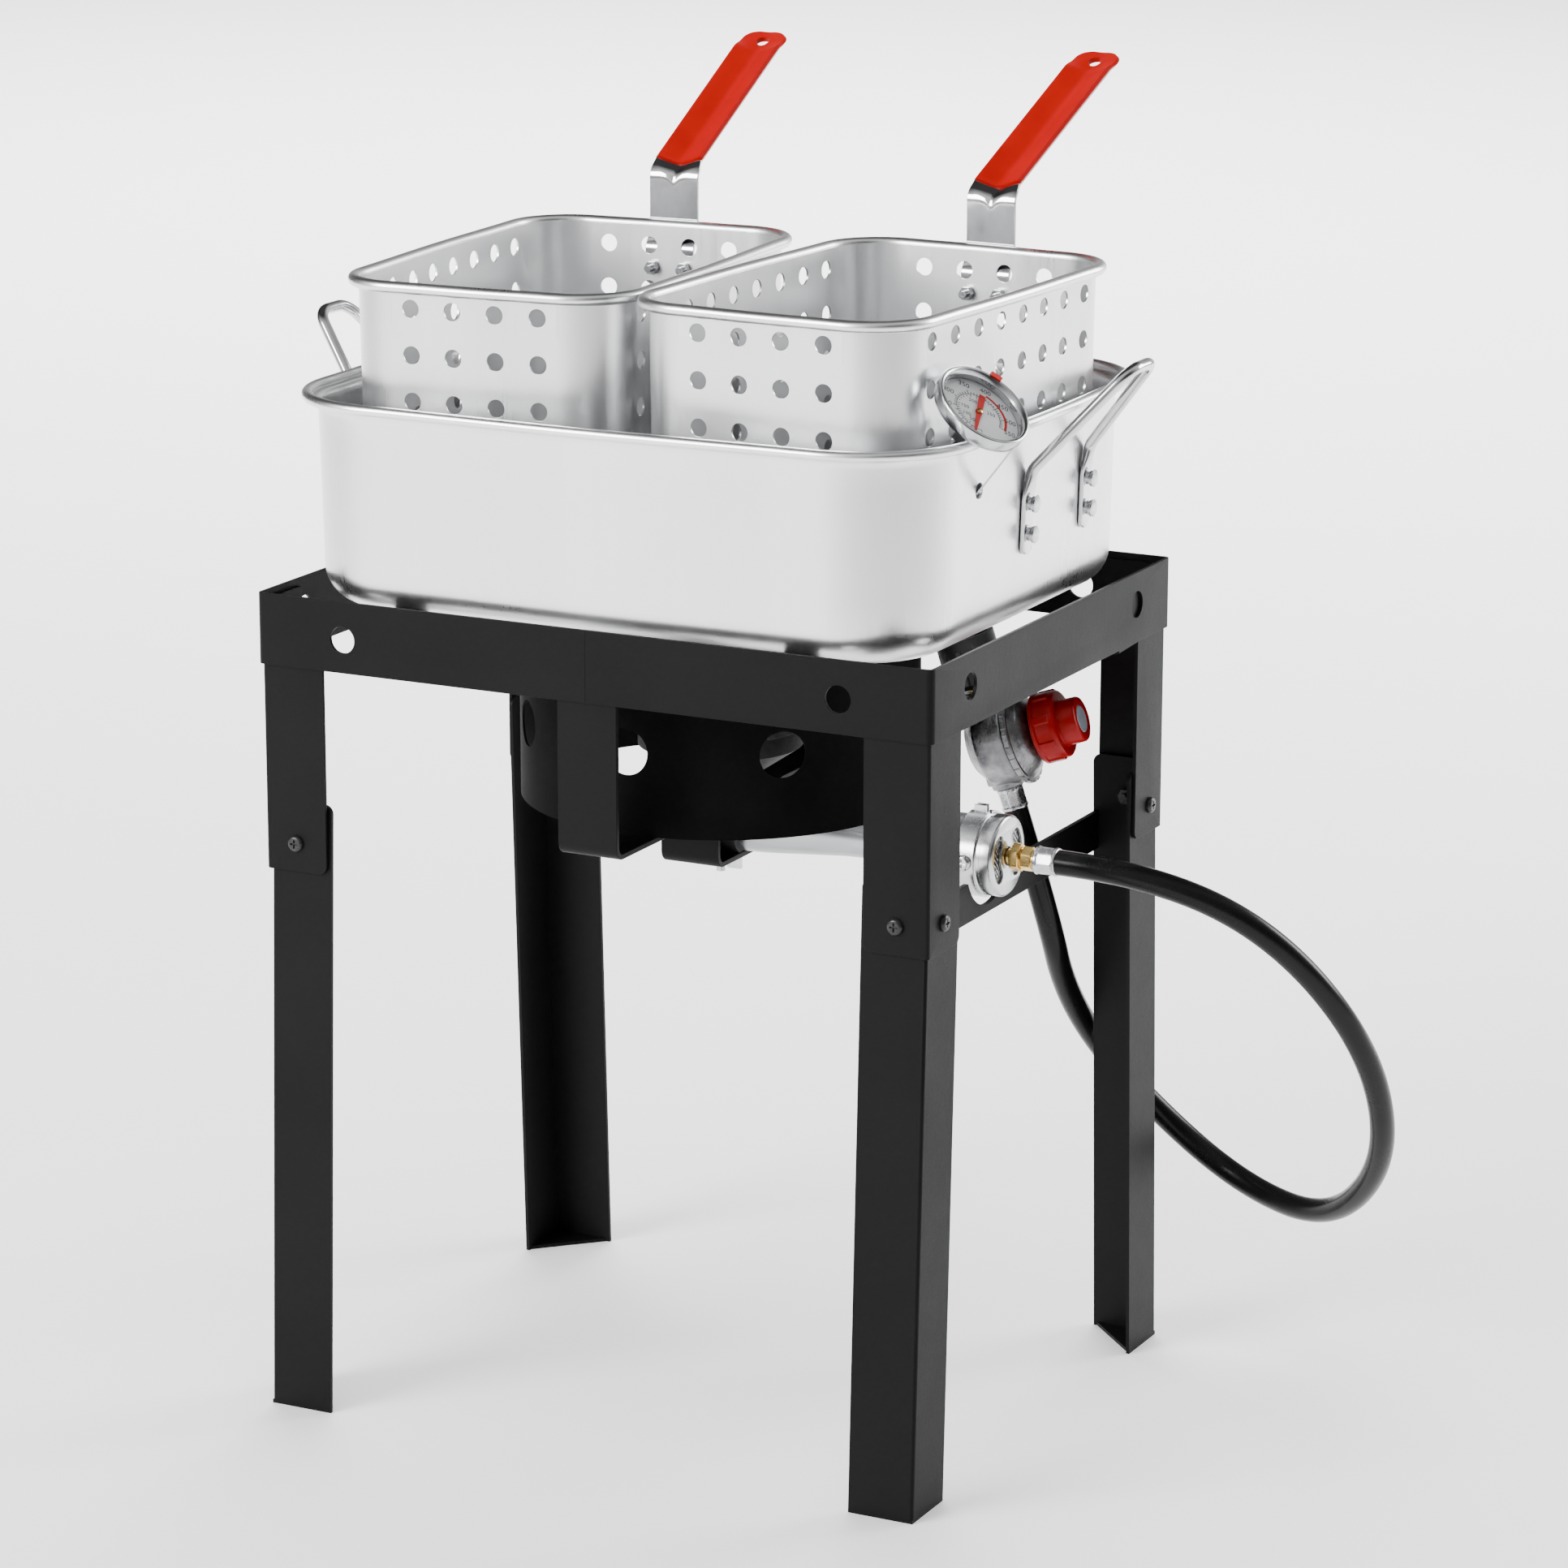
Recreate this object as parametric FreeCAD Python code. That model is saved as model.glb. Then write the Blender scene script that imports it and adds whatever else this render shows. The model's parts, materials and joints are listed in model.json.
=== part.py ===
import FreeCAD, Part
import math
import os

# Propane fish fryer: a folded steel stand, a burner under a round wind guard, a hose with its
# regulator, a rectangular aluminium pan and two perforated baskets.
# Units mm.  X runs to the right along the long side, -Y is the front, Z is up.
# The origin is on the floor under the middle of the stand.

# ---------------------------------------------------------------- driving dimensions
BAND_X, BAND_Y = 406.0, 311.5          # outside of the top band
BAND_Z0, BAND_Z1 = 424.5, 464.0
SHEET = 2.0                            # band and leg sheet
HOLE_D = 15.0                          # round holes in the band
FLANGE = 38.0                          # leg angle, each side
UPPER_Z0, UPPER_Z1 = 309.0, 460.0
LOWER_Z1 = 347.6
SPLAY = math.radians(2.25)             # lower legs lean outwards, front and rear
SCREW_Z = 325.0
SCREW_X, SCREW_Y = 182.0, 136.0
STRAP_W, STRAP_T, STRAP_Z = 35.5, 3.0, 342.0
DIP_HALF, DIP_Z = 36.0, 308.0
GUARD_R, GUARD_T, GUARD_Z1 = 111.0, 1.2, 432.0
BURN_Z = 325.0                         # axis of the burner tube
HOSE_D = 14.0
PAN_Z0, PAN_Z1, PAN_T = 456.0, 569.0, 1.5
PAN_TOP, PAN_BOT = (189.5, 150.0, 56.0), (187.0, 147.5, 54.0)
PAN_BEAD, PAN_BEAD_R = (195.5, 156.0, 62.0), 3.0
BASKET_Z0, BASKET_Z1, BASKET_T = 458.0, 633.0, 1.2
BASKET_TOP, BASKET_BOT = (81.0, 125.5, 32.0), (78.0, 122.5, 29.0)
BASKET_BEAD, BASKET_BEAD_R = (83.5, 128.0, 34.5), 3.3
BASKETS = {"left": (-90.0, 3.5), "right": (94.5, -2.8)}       # centre x, turn about Z
HOLE_PITCH, BASKET_HOLE_D = 25.0, 10.0

V = FreeCAD.Vector
X, Y, Z = V(1, 0, 0), V(0, 1, 0), V(0, 0, 1)
os.makedirs("parts", exist_ok=True)


# ---------------------------------------------------------------- helpers
def save(name, shape):
    shape.exportStep("parts/%s.step" % name)
    print("%-22s solids %2d  volume %10.1f  valid %s"
          % (name, len(shape.Solids), shape.Volume, shape.isValid()))


def box(x0, x1, y0, y1, z0, z1):
    return Part.makeBox(x1 - x0, y1 - y0, z1 - z0, V(x0, y0, z0))


def cyl(r, p, d, h):
    return Part.makeCylinder(r, h, V(*p), d)


def ring(ro, ri, p, d, h):
    return cyl(ro, p, d, h).cut(cyl(ri, p, d, h))


def frame(o, ax, ay, az):
    m = FreeCAD.Matrix(ax.x, ay.x, az.x, o.x, ax.y, ay.y, az.y, o.y,
                       ax.z, ay.z, az.z, o.z, 0, 0, 0, 1)
    return FreeCAD.Placement(m)


def placed(shape, placement):
    s = shape.copy()
    s.Placement = placement.multiply(s.Placement)
    return s


def hexagon(across, p, d, h, u=None):
    """Hexagonal prism of a given width across flats, standing on p along d."""
    u = u or (X if abs(d.dot(X)) < 0.9 else Y)
    u = (u - d * u.dot(d)).normalize()
    w = d.cross(u)
    r = across / math.sqrt(3)
    c = [V(*p) + u * (r * math.cos(math.radians(60 * k))) + w * (r * math.sin(math.radians(60 * k)))
         for k in range(6)]
    return Part.Face(Part.makePolygon(c + [c[0]])).extrude(d * h)


def rounded(hx, hy, r, z):
    """Wire of a rounded rectangle at height z."""
    e = []
    for sx, sy, a in ((1, 1, 0), (-1, 1, 90), (-1, -1, 180), (1, -1, 270)):
        c = V(sx * (hx - r), sy * (hy - r), z)
        p = [c + V(math.cos(math.radians(a + t)), math.sin(math.radians(a + t)), 0) * r
             for t in (0, 45, 90)]
        e.append(Part.Arc(*p).toShape())
    out = []
    for k in range(4):
        out.append(e[k])
        out.append(Part.LineSegment(e[k].Vertexes[-1].Point, e[(k + 1) % 4].Vertexes[0].Point).toShape())
    return Part.Wire(out)


def tub(top, bottom, z0, z1, r_edge):
    """Solid block with rounded plan, slightly tapered, with a rounded bottom edge."""
    s = Part.makeLoft([rounded(*bottom, z0), rounded(*top, z1)], True)
    low = [e for e in s.Edges if all(abs(v.Point.z - z0) < 1e-6 for v in e.Vertexes)]
    return s.makeFillet(r_edge, low)


def inset(size, d):
    return tuple(v - d for v in size)


def arc_route(pts, radii=None, tag=None):
    """Straight runs joined by tangent arcs; returns the edges and the printed radii."""
    edges, start = [], pts[0]
    for k in range(1, len(pts) - 1):
        a, b, c = pts[k - 1], pts[k], pts[k + 1]
        u, w = (a - b), (c - b)
        run = min(u.Length, w.Length)
        u.normalize()
        w.normalize()
        turn = math.pi - u.getAngle(w)
        r = radii[k - 1] if radii else 0.45 * run / math.tan(turn / 2)
        if tag:
            print("%s bend %d: turn %.0f deg, radius %.0f" % (tag, k, math.degrees(turn), r))
        t = r * math.tan(turn / 2)
        p, q = b + u * t, b + w * t
        mid = (u + w).normalize()
        m = b + mid * (r / math.cos(turn / 2) - r)
        edges.append(Part.LineSegment(start, p).toShape())
        edges.append(Part.Arc(p, m, q).toShape())
        start = q
    edges.append(Part.LineSegment(start, pts[-1]).toShape())
    return edges


def tube(pts, dia, radii=None, tag=None):
    wire = Part.Wire(arc_route(pts, radii, tag))
    d = (pts[1] - pts[0]).normalize()
    profile = Part.Wire([Part.Circle(pts[0], d, dia / 2).toShape()])
    solid = wire.makePipeShell([profile], True, True)
    if tag:
        print("%s length %.1f, volume / (section x length) = %.4f"
              % (tag, wire.Length, solid.Volume / (wire.Length * math.pi * dia * dia / 4)))
    return solid


def strip(path, t, width, r):
    """Bent sheet strip: 2-D centre line (a, b), thickness t, inner bend radius r, width along c."""
    p = [V(a, b, 0) for a, b in path]
    radii = [r + t / 2] * (len(p) - 2)
    edges = arc_route(p, radii) if len(p) > 2 else [Part.LineSegment(*p).toShape()]
    d = (p[1] - p[0]).normalize()
    n = V(-d.y, d.x, 0) * (t / 2)
    w = Z * (width / 2)
    c = [p[0] + n + w, p[0] - n + w, p[0] - n - w, p[0] + n - w]
    return Part.Wire(edges).makePipeShell([Part.makePolygon(c + [c[0]])], True, True)


def in_yz(shape, x=0.0):
    """Puts a strip drawn as (a, b) into the plane Y, Z with its width along X."""
    return placed(shape, frame(V(x, 0, 0), Y, Z, X))


# ---------------------------------------------------------------- stand
bx, by = BAND_X / 2, BAND_Y / 2
outer = Part.Face(rounded(bx, by, 4.0, BAND_Z0)).extrude(Z * (BAND_Z1 - BAND_Z0))
inner = Part.Face(rounded(bx - SHEET, by - SHEET, 2.0, BAND_Z0)).extrude(Z * (BAND_Z1 - BAND_Z0))
band = outer.cut(inner)
for sx in (-1, 1):
    band = band.cut(cyl(HOLE_D / 2, (sx * 149.0, -by - 5, 443.0), Y, BAND_Y + 10))
for sy in (-1, 1):
    band = band.cut(cyl(HOLE_D / 2, (-bx - 5, sy * 109.0, 446.0), X, BAND_X + 10))
save("top_band", band)


def angle_leg(xo, yo, z0, z1, t=SHEET):
    """Angle with its outer corner at (xo, yo) in the first quadrant."""
    a = box(xo - FLANGE, xo, yo - t, yo, z0, z1)
    b = box(xo - t, xo, yo - FLANGE, yo, z0, z1)
    s = a.fuse(b).removeSplitter()
    e = [g for g in s.Edges if abs(g.Vertexes[0].X - xo) < 1e-6 and abs(g.Vertexes[-1].X - xo) < 1e-6
         and abs(g.Vertexes[0].Y - yo) < 1e-6 and abs(g.Vertexes[-1].Y - yo) < 1e-6]
    return s.makeFillet(1.9, e)


def corner_cut(z, down, xo, yo):
    """Tool that rounds the two free lower (or upper) corners of an angle leg."""
    r = 5.0
    tools = []
    for d, o in ((Y, V(xo - FLANGE, yo - 12, z)), (X, V(xo - 12, yo - FLANGE, z))):
        side = X if d == Y else Y
        c = o + side * r + Z * (r if down else -r)
        size = (r + 4, 24, r + 4) if d == Y else (24, r + 4, r + 4)
        blk = Part.makeBox(*size, o - side * 4 + Z * (-4 if down else -r))
        tools.append(blk.cut(cyl(r, (c.x, c.y, c.z), d, 24)))
    return tools[0].fuse(tools[1])


ux, uy = bx - SHEET, by - SHEET
lx, ly = ux - SHEET, uy - SHEET
screw_holes = [cyl(2.6, (SCREW_X, 100, SCREW_Z), Y, 80), cyl(2.6, (150, SCREW_Y, SCREW_Z), X, 80)]
upper = angle_leg(ux, uy, UPPER_Z0, UPPER_Z1).cut(corner_cut(UPPER_Z0, True, ux, uy))
lower = angle_leg(lx, ly, -30.0, LOWER_Z1 + 5)
lower.rotate(V(0, ly, UPPER_Z0), X, math.degrees(SPLAY))
lower = lower.common(box(100, 300, 60, 260, 0, LOWER_Z1))
foot_y = ly + (UPPER_Z0) * math.tan(SPLAY)
foot = Part.makePolygon([V(lx, foot_y, 0), V(lx - FLANGE, foot_y, 0), V(lx, foot_y - FLANGE, 0),
                         V(lx, foot_y, 0)])
foot = Part.Face(foot).extrude(Z * SHEET).common(box(100, lx, 60, foot_y, 0, SHEET))
lower = lower.cut(corner_cut(LOWER_Z1, False, lx, ly - 1.5)).fuse(foot).removeSplitter()
for hole in screw_holes:
    upper, lower = upper.cut(hole), lower.cut(hole)


def four(shape, tag):
    """The same piece in the four corners, mirrored."""
    out = {}
    for name, mx, my in (("rr", 1, 1), ("rl", -1, 1), ("fr", 1, -1), ("fl", -1, -1)):
        s = shape.copy()
        if mx < 0:
            s = s.mirror(V(0, 0, 0), X)
        if my < 0:
            s = s.mirror(V(0, 0, 0), Y)
        out[name] = s
        if tag:
            save("%s_%s" % (tag, name), s)
    return out


four(upper, "upper_leg")
legs = four(lower, "lower_leg")


def pan_screw(p, d, reach):
    """Pan head screw with its seat on p and its shank along -d."""
    head = cyl(4.6, (p.x, p.y, p.z), d, 2.6)
    rim = [e for e in head.Edges if abs((e.CenterOfMass - p).dot(d) - 2.6) < 0.05]
    head = head.makeFillet(1.8, rim)
    o = p + d * 1.4
    u = Z
    w = d.cross(Z)
    for a, b in ((u, w), (w, u)):
        q = o - a * 2.4 - b * 0.5
        slot = Part.Face(Part.makePolygon([q, q + a * 4.8, q + a * 4.8 + b, q + b, q])).extrude(d * 3)
        head = head.cut(slot)
    q = p - d * reach
    return head.fuse(cyl(2.5, (q.x, q.y, q.z), d, reach)).removeSplitter()


screws = [pan_screw(V(SCREW_X, uy, SCREW_Z), Y, 12.0), pan_screw(V(ux, SCREW_Y, SCREW_Z), X, 10.5)]
nut_y = ly - SHEET / math.cos(SPLAY) - (SCREW_Z - UPPER_Z0 + 4.6) * math.tan(SPLAY)
nuts = [hexagon(8.0, (SCREW_X, nut_y - 4, SCREW_Z), Y, 4.0), hexagon(8.0, (lx - SHEET - 4, SCREW_Y, SCREW_Z), X, 4.0)]
nuts = [n.cut(h) for n, h in zip(nuts, (cyl(2.55, (SCREW_X, 100, SCREW_Z), Y, 80),
                                        cyl(2.55, (150, SCREW_Y, SCREW_Z), X, 80)))]
for name, group in (("leg_screws", screws), ("leg_nuts", nuts)):
    every = []
    for g in group:
        every += list(four(g, None).values())
    save(name, Part.makeCompound(every))

# flat rest across the right side, cradling the burner tube mouth
REST_X, REST_T, REST_Z0, REST_Z1 = 161.5, 3.0, 292.0, 314.0
rest = box(REST_X, REST_X + REST_T, -160, 160, REST_Z0, REST_Z1)
rest = rest.cut(cyl(28.2, (REST_X - 5, 0, BURN_Z), X, 20))
for tag in ("fr", "rr"):
    rest = rest.cut(legs[tag])
rest = rest.common(box(150, 175, -ly + SHEET + 0.05, ly - SHEET - 0.05, 280, 330))
save("tube_rest", rest)

# strap that carries the burner, front band to rear band with a dip in the middle
sy = uy - STRAP_T / 2
zc = STRAP_Z - STRAP_T / 2
half = [(-sy, UPPER_Z1), (-sy, zc), (-DIP_HALF, zc), (-DIP_HALF, DIP_Z), (DIP_HALF, DIP_Z),
        (DIP_HALF, zc), (sy, zc), (sy, UPPER_Z1)]
strap = in_yz(strip(half, STRAP_T, STRAP_W, 4.0))
strap = strap.cut(cyl(3.2, (0, 0, DIP_Z - 5), Z, 10))
save("burner_strap", strap)

guard = ring(GUARD_R, GUARD_R - GUARD_T, (0, 0, STRAP_Z), Z, GUARD_Z1 - STRAP_Z)
for k in range(4):
    a = math.radians(45 * k)
    d = V(math.cos(a), math.sin(a), 0)
    p = d * -130 + V(0, 0, 388.0)
    guard = guard.cut(cyl(13.0, (p.x, p.y, p.z), d, 260))
save("wind_guard", guard)

# bars that carry the pan, welded between the front and rear of the band
bars = []
for x in (-118.0, 118.0):
    path = [(-uy + 1.5, 432.0), (-uy + 1.5, PAN_Z0 - 1.5), (uy - 1.5, PAN_Z0 - 1.5), (uy - 1.5, 432.0)]
    bars.append(in_yz(strip(path, 3.0, 20.0, 3.0), x))
save("pan_bars", Part.makeCompound(bars))

# ---------------------------------------------------------------- burner
base_z = DIP_Z + STRAP_T / 2
body = cyl(15.0, (0, 0, base_z), Z, 342 - base_z).fuse(cyl(20.0, (0, 0, 341), Z, 12))
body = body.fuse(cyl(18.5, (0, 0, BURN_Z), X, 17.0).common(box(-20, 30, -30, 30, base_z, 341)))
body = body.cut(cyl(11.0, (0, 0, 314), Z, 60)).cut(cyl(11.0, (0, 0, BURN_Z), X, 30))
body = body.cut(cyl(2.55, (0, 0, base_z - 1), Z, 10))
head = Part.makeCone(22.0, 46.0, 16.0, V(0, 0, 353)).fuse(cyl(46.0, (0, 0, 369), Z, 10))
head = head.cut(Part.makeCone(16.0, 42.0, 15.0, V(0, 0, 352.9))).cut(cyl(42.0, (0, 0, 367.8), Z, 7.2))
head = head.cut(cyl(16.0, (0, 0, 340), Z, 15))
ports = [cyl(1.8, (r * math.cos(math.radians(a)), r * math.sin(math.radians(a)), 370), Z, 15)
         for r, n in ((14, 8), (24, 14), (34, 20)) for a in [360.0 / n * k for k in range(n)]]
head = head.cut(Part.makeCompound(ports))
body = body.fuse(head).removeSplitter()
save("burner_head", body)

bolt = cyl(2.5, (0, 0, 295.0), Z, 24.0).fuse(hexagon(8.0, (0, 0, 311.5 + 3), Z, 3.5))
wing = ring(5.5, 2.55, (0, 0, DIP_Z - STRAP_T / 2 - 6), Z, 6.0)
for s in (-1, 1):
    ear = box(4.5, 13.0, -1.2, 1.2, DIP_Z - STRAP_T / 2 - 9, DIP_Z - STRAP_T / 2 - 1)
    wing = wing.fuse(ear if s > 0 else ear.mirror(V(0, 0, 0), X))
save("burner_bolt", bolt)
save("wing_nut", wing)


def turned_x(profile, z=BURN_Z):
    """Solid of revolution about the burner axis from (x, radius) pairs."""
    p = [V(x, 0, z + r) for x, r in profile]
    return Part.Face(Part.makePolygon(p + [p[0]])).revolve(V(0, 0, z), X, 360)


tube_out = [(17.0, 16.0), (40.0, 15.0), (85.0, 11.5), (120.0, 14.5), (138.0, 17.5), (139.0, 20.5), (166.0, 20.5)]
tube_in = [(166.0, 18.8), (140.5, 18.8), (120.0, 12.8), (85.0, 9.8), (40.0, 12.5), (17.0, 12.5)]
venturi = turned_x(tube_out + tube_in)
spider = box(158, 165, -18.9, 18.9, BURN_Z - 3, BURN_Z + 3).fuse(cyl(7.5, (156, 0, BURN_Z), X, 10))
spider = spider.cut(cyl(4.2, (150, 0, BURN_Z), X, 20))
venturi = venturi.fuse(spider).removeSplitter()
save("venturi_tube", venturi)

FACE_X = 176.0
cap = turned_x([(154.0, 22.6), (FACE_X - 1.5, 22.6), (FACE_X, 21.0), (FACE_X, 5.2), (FACE_X - 1.4, 5.2),
                (FACE_X - 1.4, 21.0), (154.0, 21.0)])
for k in (0, 1):
    win = ring(18.0, 10.5, (FACE_X - 4, 0, BURN_Z), X, 8)
    win = win.common(box(170, 180, -18.5, -5.5, BURN_Z - 14.0, BURN_Z + 14.0))
    if k:
        win.rotate(V(0, 0, BURN_Z), X, 180)
    cap = cap.cut(win)
save("air_shutter", cap)
mesh = ring(20.6, 5.2, (FACE_X - 1.9, 0, BURN_Z), X, 0.5)
save("shutter_mesh", mesh)
clamp = ring(23.9, 22.6, (154.5, 0, BURN_Z), X, 11.0)
clamp = clamp.cut(box(150, 170, -1.0, 1.0, BURN_Z, BURN_Z + 30))
clamp = clamp.fuse(box(156.5, 163.5, 1.0, 2.4, BURN_Z + 22.7, BURN_Z + 27.2)) \
             .fuse(box(156.5, 163.5, -2.4, -1.0, BURN_Z + 22.7, BURN_Z + 27.2)).removeSplitter()
clamp = clamp.cut(cyl(2.6, (160.0, -26.0, BURN_Z), Y, 6.0))
save("shutter_clamp", clamp)
lock = pan_screw(V(160.0, -23.9, BURN_Z), V(0, -1, 0), 1.2)
save("shutter_screw", lock)

brass = cyl(4.2, (158.0, 0, BURN_Z), X, 21.0).fuse(hexagon(14.0, (179.0, 0, BURN_Z), X, 5.5, Z))
brass = brass.fuse(cyl(5.4, (184.5, 0, BURN_Z), X, 1.0)).cut(cyl(1.6, (150, 0, BURN_Z), X, 40)).removeSplitter()
save("orifice_fitting", brass)
coupling = hexagon(12.0, (185.5, 0, BURN_Z), X, 7.5, Z).cut(cyl(2.0, (180, 0, BURN_Z), X, 20))
save("hose_coupling", coupling)
FERRULE = 13.0


def ferrule(p, d):
    s = cyl(7.8, (p.x, p.y, p.z), d, FERRULE)
    ends = [e for e in s.Edges if len(e.Vertexes) == 1]
    s = s.makeChamfer(0.6, ends).cut(cyl(2.0, (p.x, p.y, p.z), d, FERRULE))
    return s


f0 = V(193.0, 0, BURN_Z)
save("burner_ferrule", ferrule(f0, X))

# ---------------------------------------------------------------- regulator
TILT, TURN = math.radians(18.0), math.radians(8.0)
REG = V(125.0, 93.0, 363.6)            # centre of the die-cast body
rn = V(math.cos(TILT) * math.cos(TURN), math.cos(TILT) * math.sin(TURN), math.sin(TILT))
rm = V(math.sin(TILT) * math.cos(TURN), math.sin(TILT) * math.sin(TURN), -math.cos(TILT))
rp = rn.cross(rm)
REG_PL = frame(REG, rp, rm * -1, rn)   # local z along the knob, local y up the inlet


def reg(shape):
    return placed(shape, REG_PL)


zc_body = Part.makeCone(17.0, 26.0, 8.0, V(0, 0, -12)).fuse(cyl(26.0, (0, 0, -4), Z, 17.0))
zc_body = zc_body.fuse(cyl(9.5, (0, 0, 0), V(0, -1, 0), 27.5)).fuse(cyl(11.0, (0, 0, 0), Y, 30.0))
zc_body = zc_body.fuse(box(-9.5, 9.5, -24.0, 27.0, -9.0, 4.0))
zc_body = zc_body.cut(cyl(22.0, (0, 0, 4), Z, 12)).cut(cyl(5.0, (0, 0, -4), Z, 10))
zc_body = zc_body.cut(cyl(3.0, (0, -30, 0), Y, 31)).cut(cyl(6.05, (0, 20, 0), Y, 20)).cut(cyl(2.5, (0, 0, 0), Y, 30))
save("regulator_body", reg(zc_body.removeSplitter()))
save("diaphragm", reg(cyl(25.5, (0, 0, 13.0), Z, 1.0)))
bonnet = cyl(28.0, (0, 0, 14.0), Z, 3.5)
teeth = [box(26.6, 29.0, -1.1, 1.1, 13.0, 18.0) for k in range(24)]
for k, t in enumerate(teeth):
    t.rotate(V(0, 0, 0), Z, 15 * k)
bonnet = bonnet.cut(Part.makeCompound(teeth)).fuse(Part.makeCone(25.0, 16.0, 8.0, V(0, 0, 17.5)))
bonnet = bonnet.cut(Part.makeCone(22.0, 12.5, 8.0, V(0, 0, 14.0))).cut(cyl(12.5, (0, 0, 20), Z, 10))
bonnet = bonnet.fuse(ring(13.6, 11.0, (0, 0, 22.0), Z, 5.0)).removeSplitter()
save("regulator_bonnet", reg(bonnet))
turn = [V(7.5 * math.cos(math.pi * k / 8), 7.5 * math.sin(math.pi * k / 8), 15.9 + 2.1 * k / 16) for k in range(49)]
helix = Part.BSplineCurve()
helix.interpolate(turn)
wire_end = Part.Circle(turn[0], helix.tangent(helix.FirstParameter)[0], 0.8).toShape()
coil = Part.Wire([helix.toShape()]).makePipeShell([Part.Wire([wire_end])], True, True)
save("regulator_spring", reg(coil))
adjuster = cyl(10.7, (0, 0, 23.2), Z, 6.6).fuse(cyl(4.0, (0, 0, 29.0), Z, 10.4))
save("adjusting_screw", reg(adjuster))
knob = cyl(19.5, (0, 0, 28.0), Z, 14.0)
knob = knob.makeFillet(1.2, [e for e in knob.Edges if len(e.Vertexes) == 1 and e.CenterOfMass.z > 41])
ribs = [cyl(1.0, (19.6 * math.cos(math.radians(a)), 19.6 * math.sin(math.radians(a)), 28.0), Z, 11.0)
        for a in range(0, 360, 45)]
knob = knob.fuse(cyl(13.0, (0, 0, 41.5), Z, 11.5)).fuse(Part.makeCompound(ribs))
knob = knob.cut(cyl(15.6, (0, 0, 27.0), Z, 5.0)).cut(cyl(4.0, (0, 0, 30.0), Z, 9.4)).cut(cyl(8.0, (0, 0, 52.0), Z, 3)).removeSplitter()
save("regulator_knob", reg(knob))
save("knob_cap", reg(cyl(7.9, (0, 0, 52.0), Z, 0.8)))
stem = cyl(6.0, (0, 22.0, 0), Y, 26.0).fuse(cyl(9.0, (0, 42.3, 0), Y, 3.5))
stem = stem.cut(cyl(2.5, (0, 20.0, 0), Y, 40)).removeSplitter()
save("inlet_stem", reg(stem))
nut = cyl(17.0, (0, 35.2, 0), Y, 26.0)
nut = nut.cut(cyl(6.3, (0, 30, 0), Y, 40)).cut(cyl(14.0, (0, 42.0, 0), Y, 30))
flutes = [cyl(2.2, (18.2 * math.cos(math.radians(a)), 35.2, 18.2 * math.sin(math.radians(a))), Y, 20.0)
          for a in range(0, 360, 30)]
nut = nut.cut(Part.makeCompound(flutes))
save("inlet_nut", reg(nut))
f1 = REG + rm * 27.5
save("regulator_ferrule", ferrule(f1, rm))

# hanger: a bracket from the band with an open slot that holds the inlet stem
hang = box(-14, 14, 32.4, 34.9, -16, 110).cut(box(-6.4, 6.4, 30, 40, -20, 0)).cut(cyl(6.4, (0, 30, 0), Y, 10))
hang = reg(hang).common(box(60, ux, 40, 115, 380, 450))
tab = box(ux - 2.0, ux, 87.0, 115.0, 425.0, 452.0)
hang = hang.fuse(tab).removeSplitter()
save("regulator_hanger", hang)

# ---------------------------------------------------------------- hose
h0, h1 = f0 + X * FERRULE, f1 + rm * FERRULE
hose_pts = [h0, V(262, 0, BURN_Z), V(325, 25, 292), V(362, 72, 220), V(356, 120, 142), V(305, 168, 84),
            V(232, 207, 84), V(168, 198, 136), V(148, 146, 200), h1 + rm * 60.0, h1]
for k, p in enumerate(hose_pts):
    print("hose point %d: %.1f %.1f %.1f" % (k, p.x, p.y, p.z))
save("hose", tube(hose_pts, HOSE_D, None, "hose"))

# ---------------------------------------------------------------- pan
pan = tub(PAN_TOP, PAN_BOT, PAN_Z0, PAN_Z1, 20.0)
pan = pan.cut(tub(inset(PAN_TOP, PAN_T), inset(PAN_BOT, PAN_T), PAN_Z0 + PAN_T, PAN_Z1 + 0.0, 18.5))
lip = Part.Face(rounded(*PAN_BEAD, PAN_Z1 - 1.5)).extrude(Z * 1.5)
lip = lip.cut(Part.Face(rounded(*inset(PAN_TOP, PAN_T), PAN_Z1 - 1.5)).extrude(Z * 1.5))
loop = rounded(*PAN_BEAD, PAN_Z1 + 1.0)
start = loop.Edges[0].Vertexes[0].Point
bead = loop.makePipeShell([Part.Wire([Part.Circle(start, loop.Edges[0].tangentAt(loop.Edges[0].FirstParameter),
                                                  PAN_BEAD_R).toShape()])], True, True)
pan = pan.fuse(lip).fuse(bead)
PROBE = V(190.0, -71.0, 541.0)         # hole in the right wall for the thermometer clip
pan = pan.cut(cyl(4.5, (170, PROBE.y, PROBE.z), X, 30))

HANDLE_Y = {"right": 25.0, "left": -12.0}
FOOT_HALF, RIVETS = 39.0, (508.0, 524.5)


def wall_x(z):
    return PAN_BOT[0] + (PAN_TOP[0] - PAN_BOT[0]) * (z - PAN_Z0) / (PAN_Z1 - PAN_Z0)


lean = math.atan((PAN_TOP[0] - PAN_BOT[0]) / (PAN_Z1 - PAN_Z0))
out_dir = V(math.cos(lean), 0, -math.sin(lean))
solid_wall = tub(PAN_TOP, PAN_BOT, PAN_Z0, PAN_Z1, 20.0)


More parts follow.
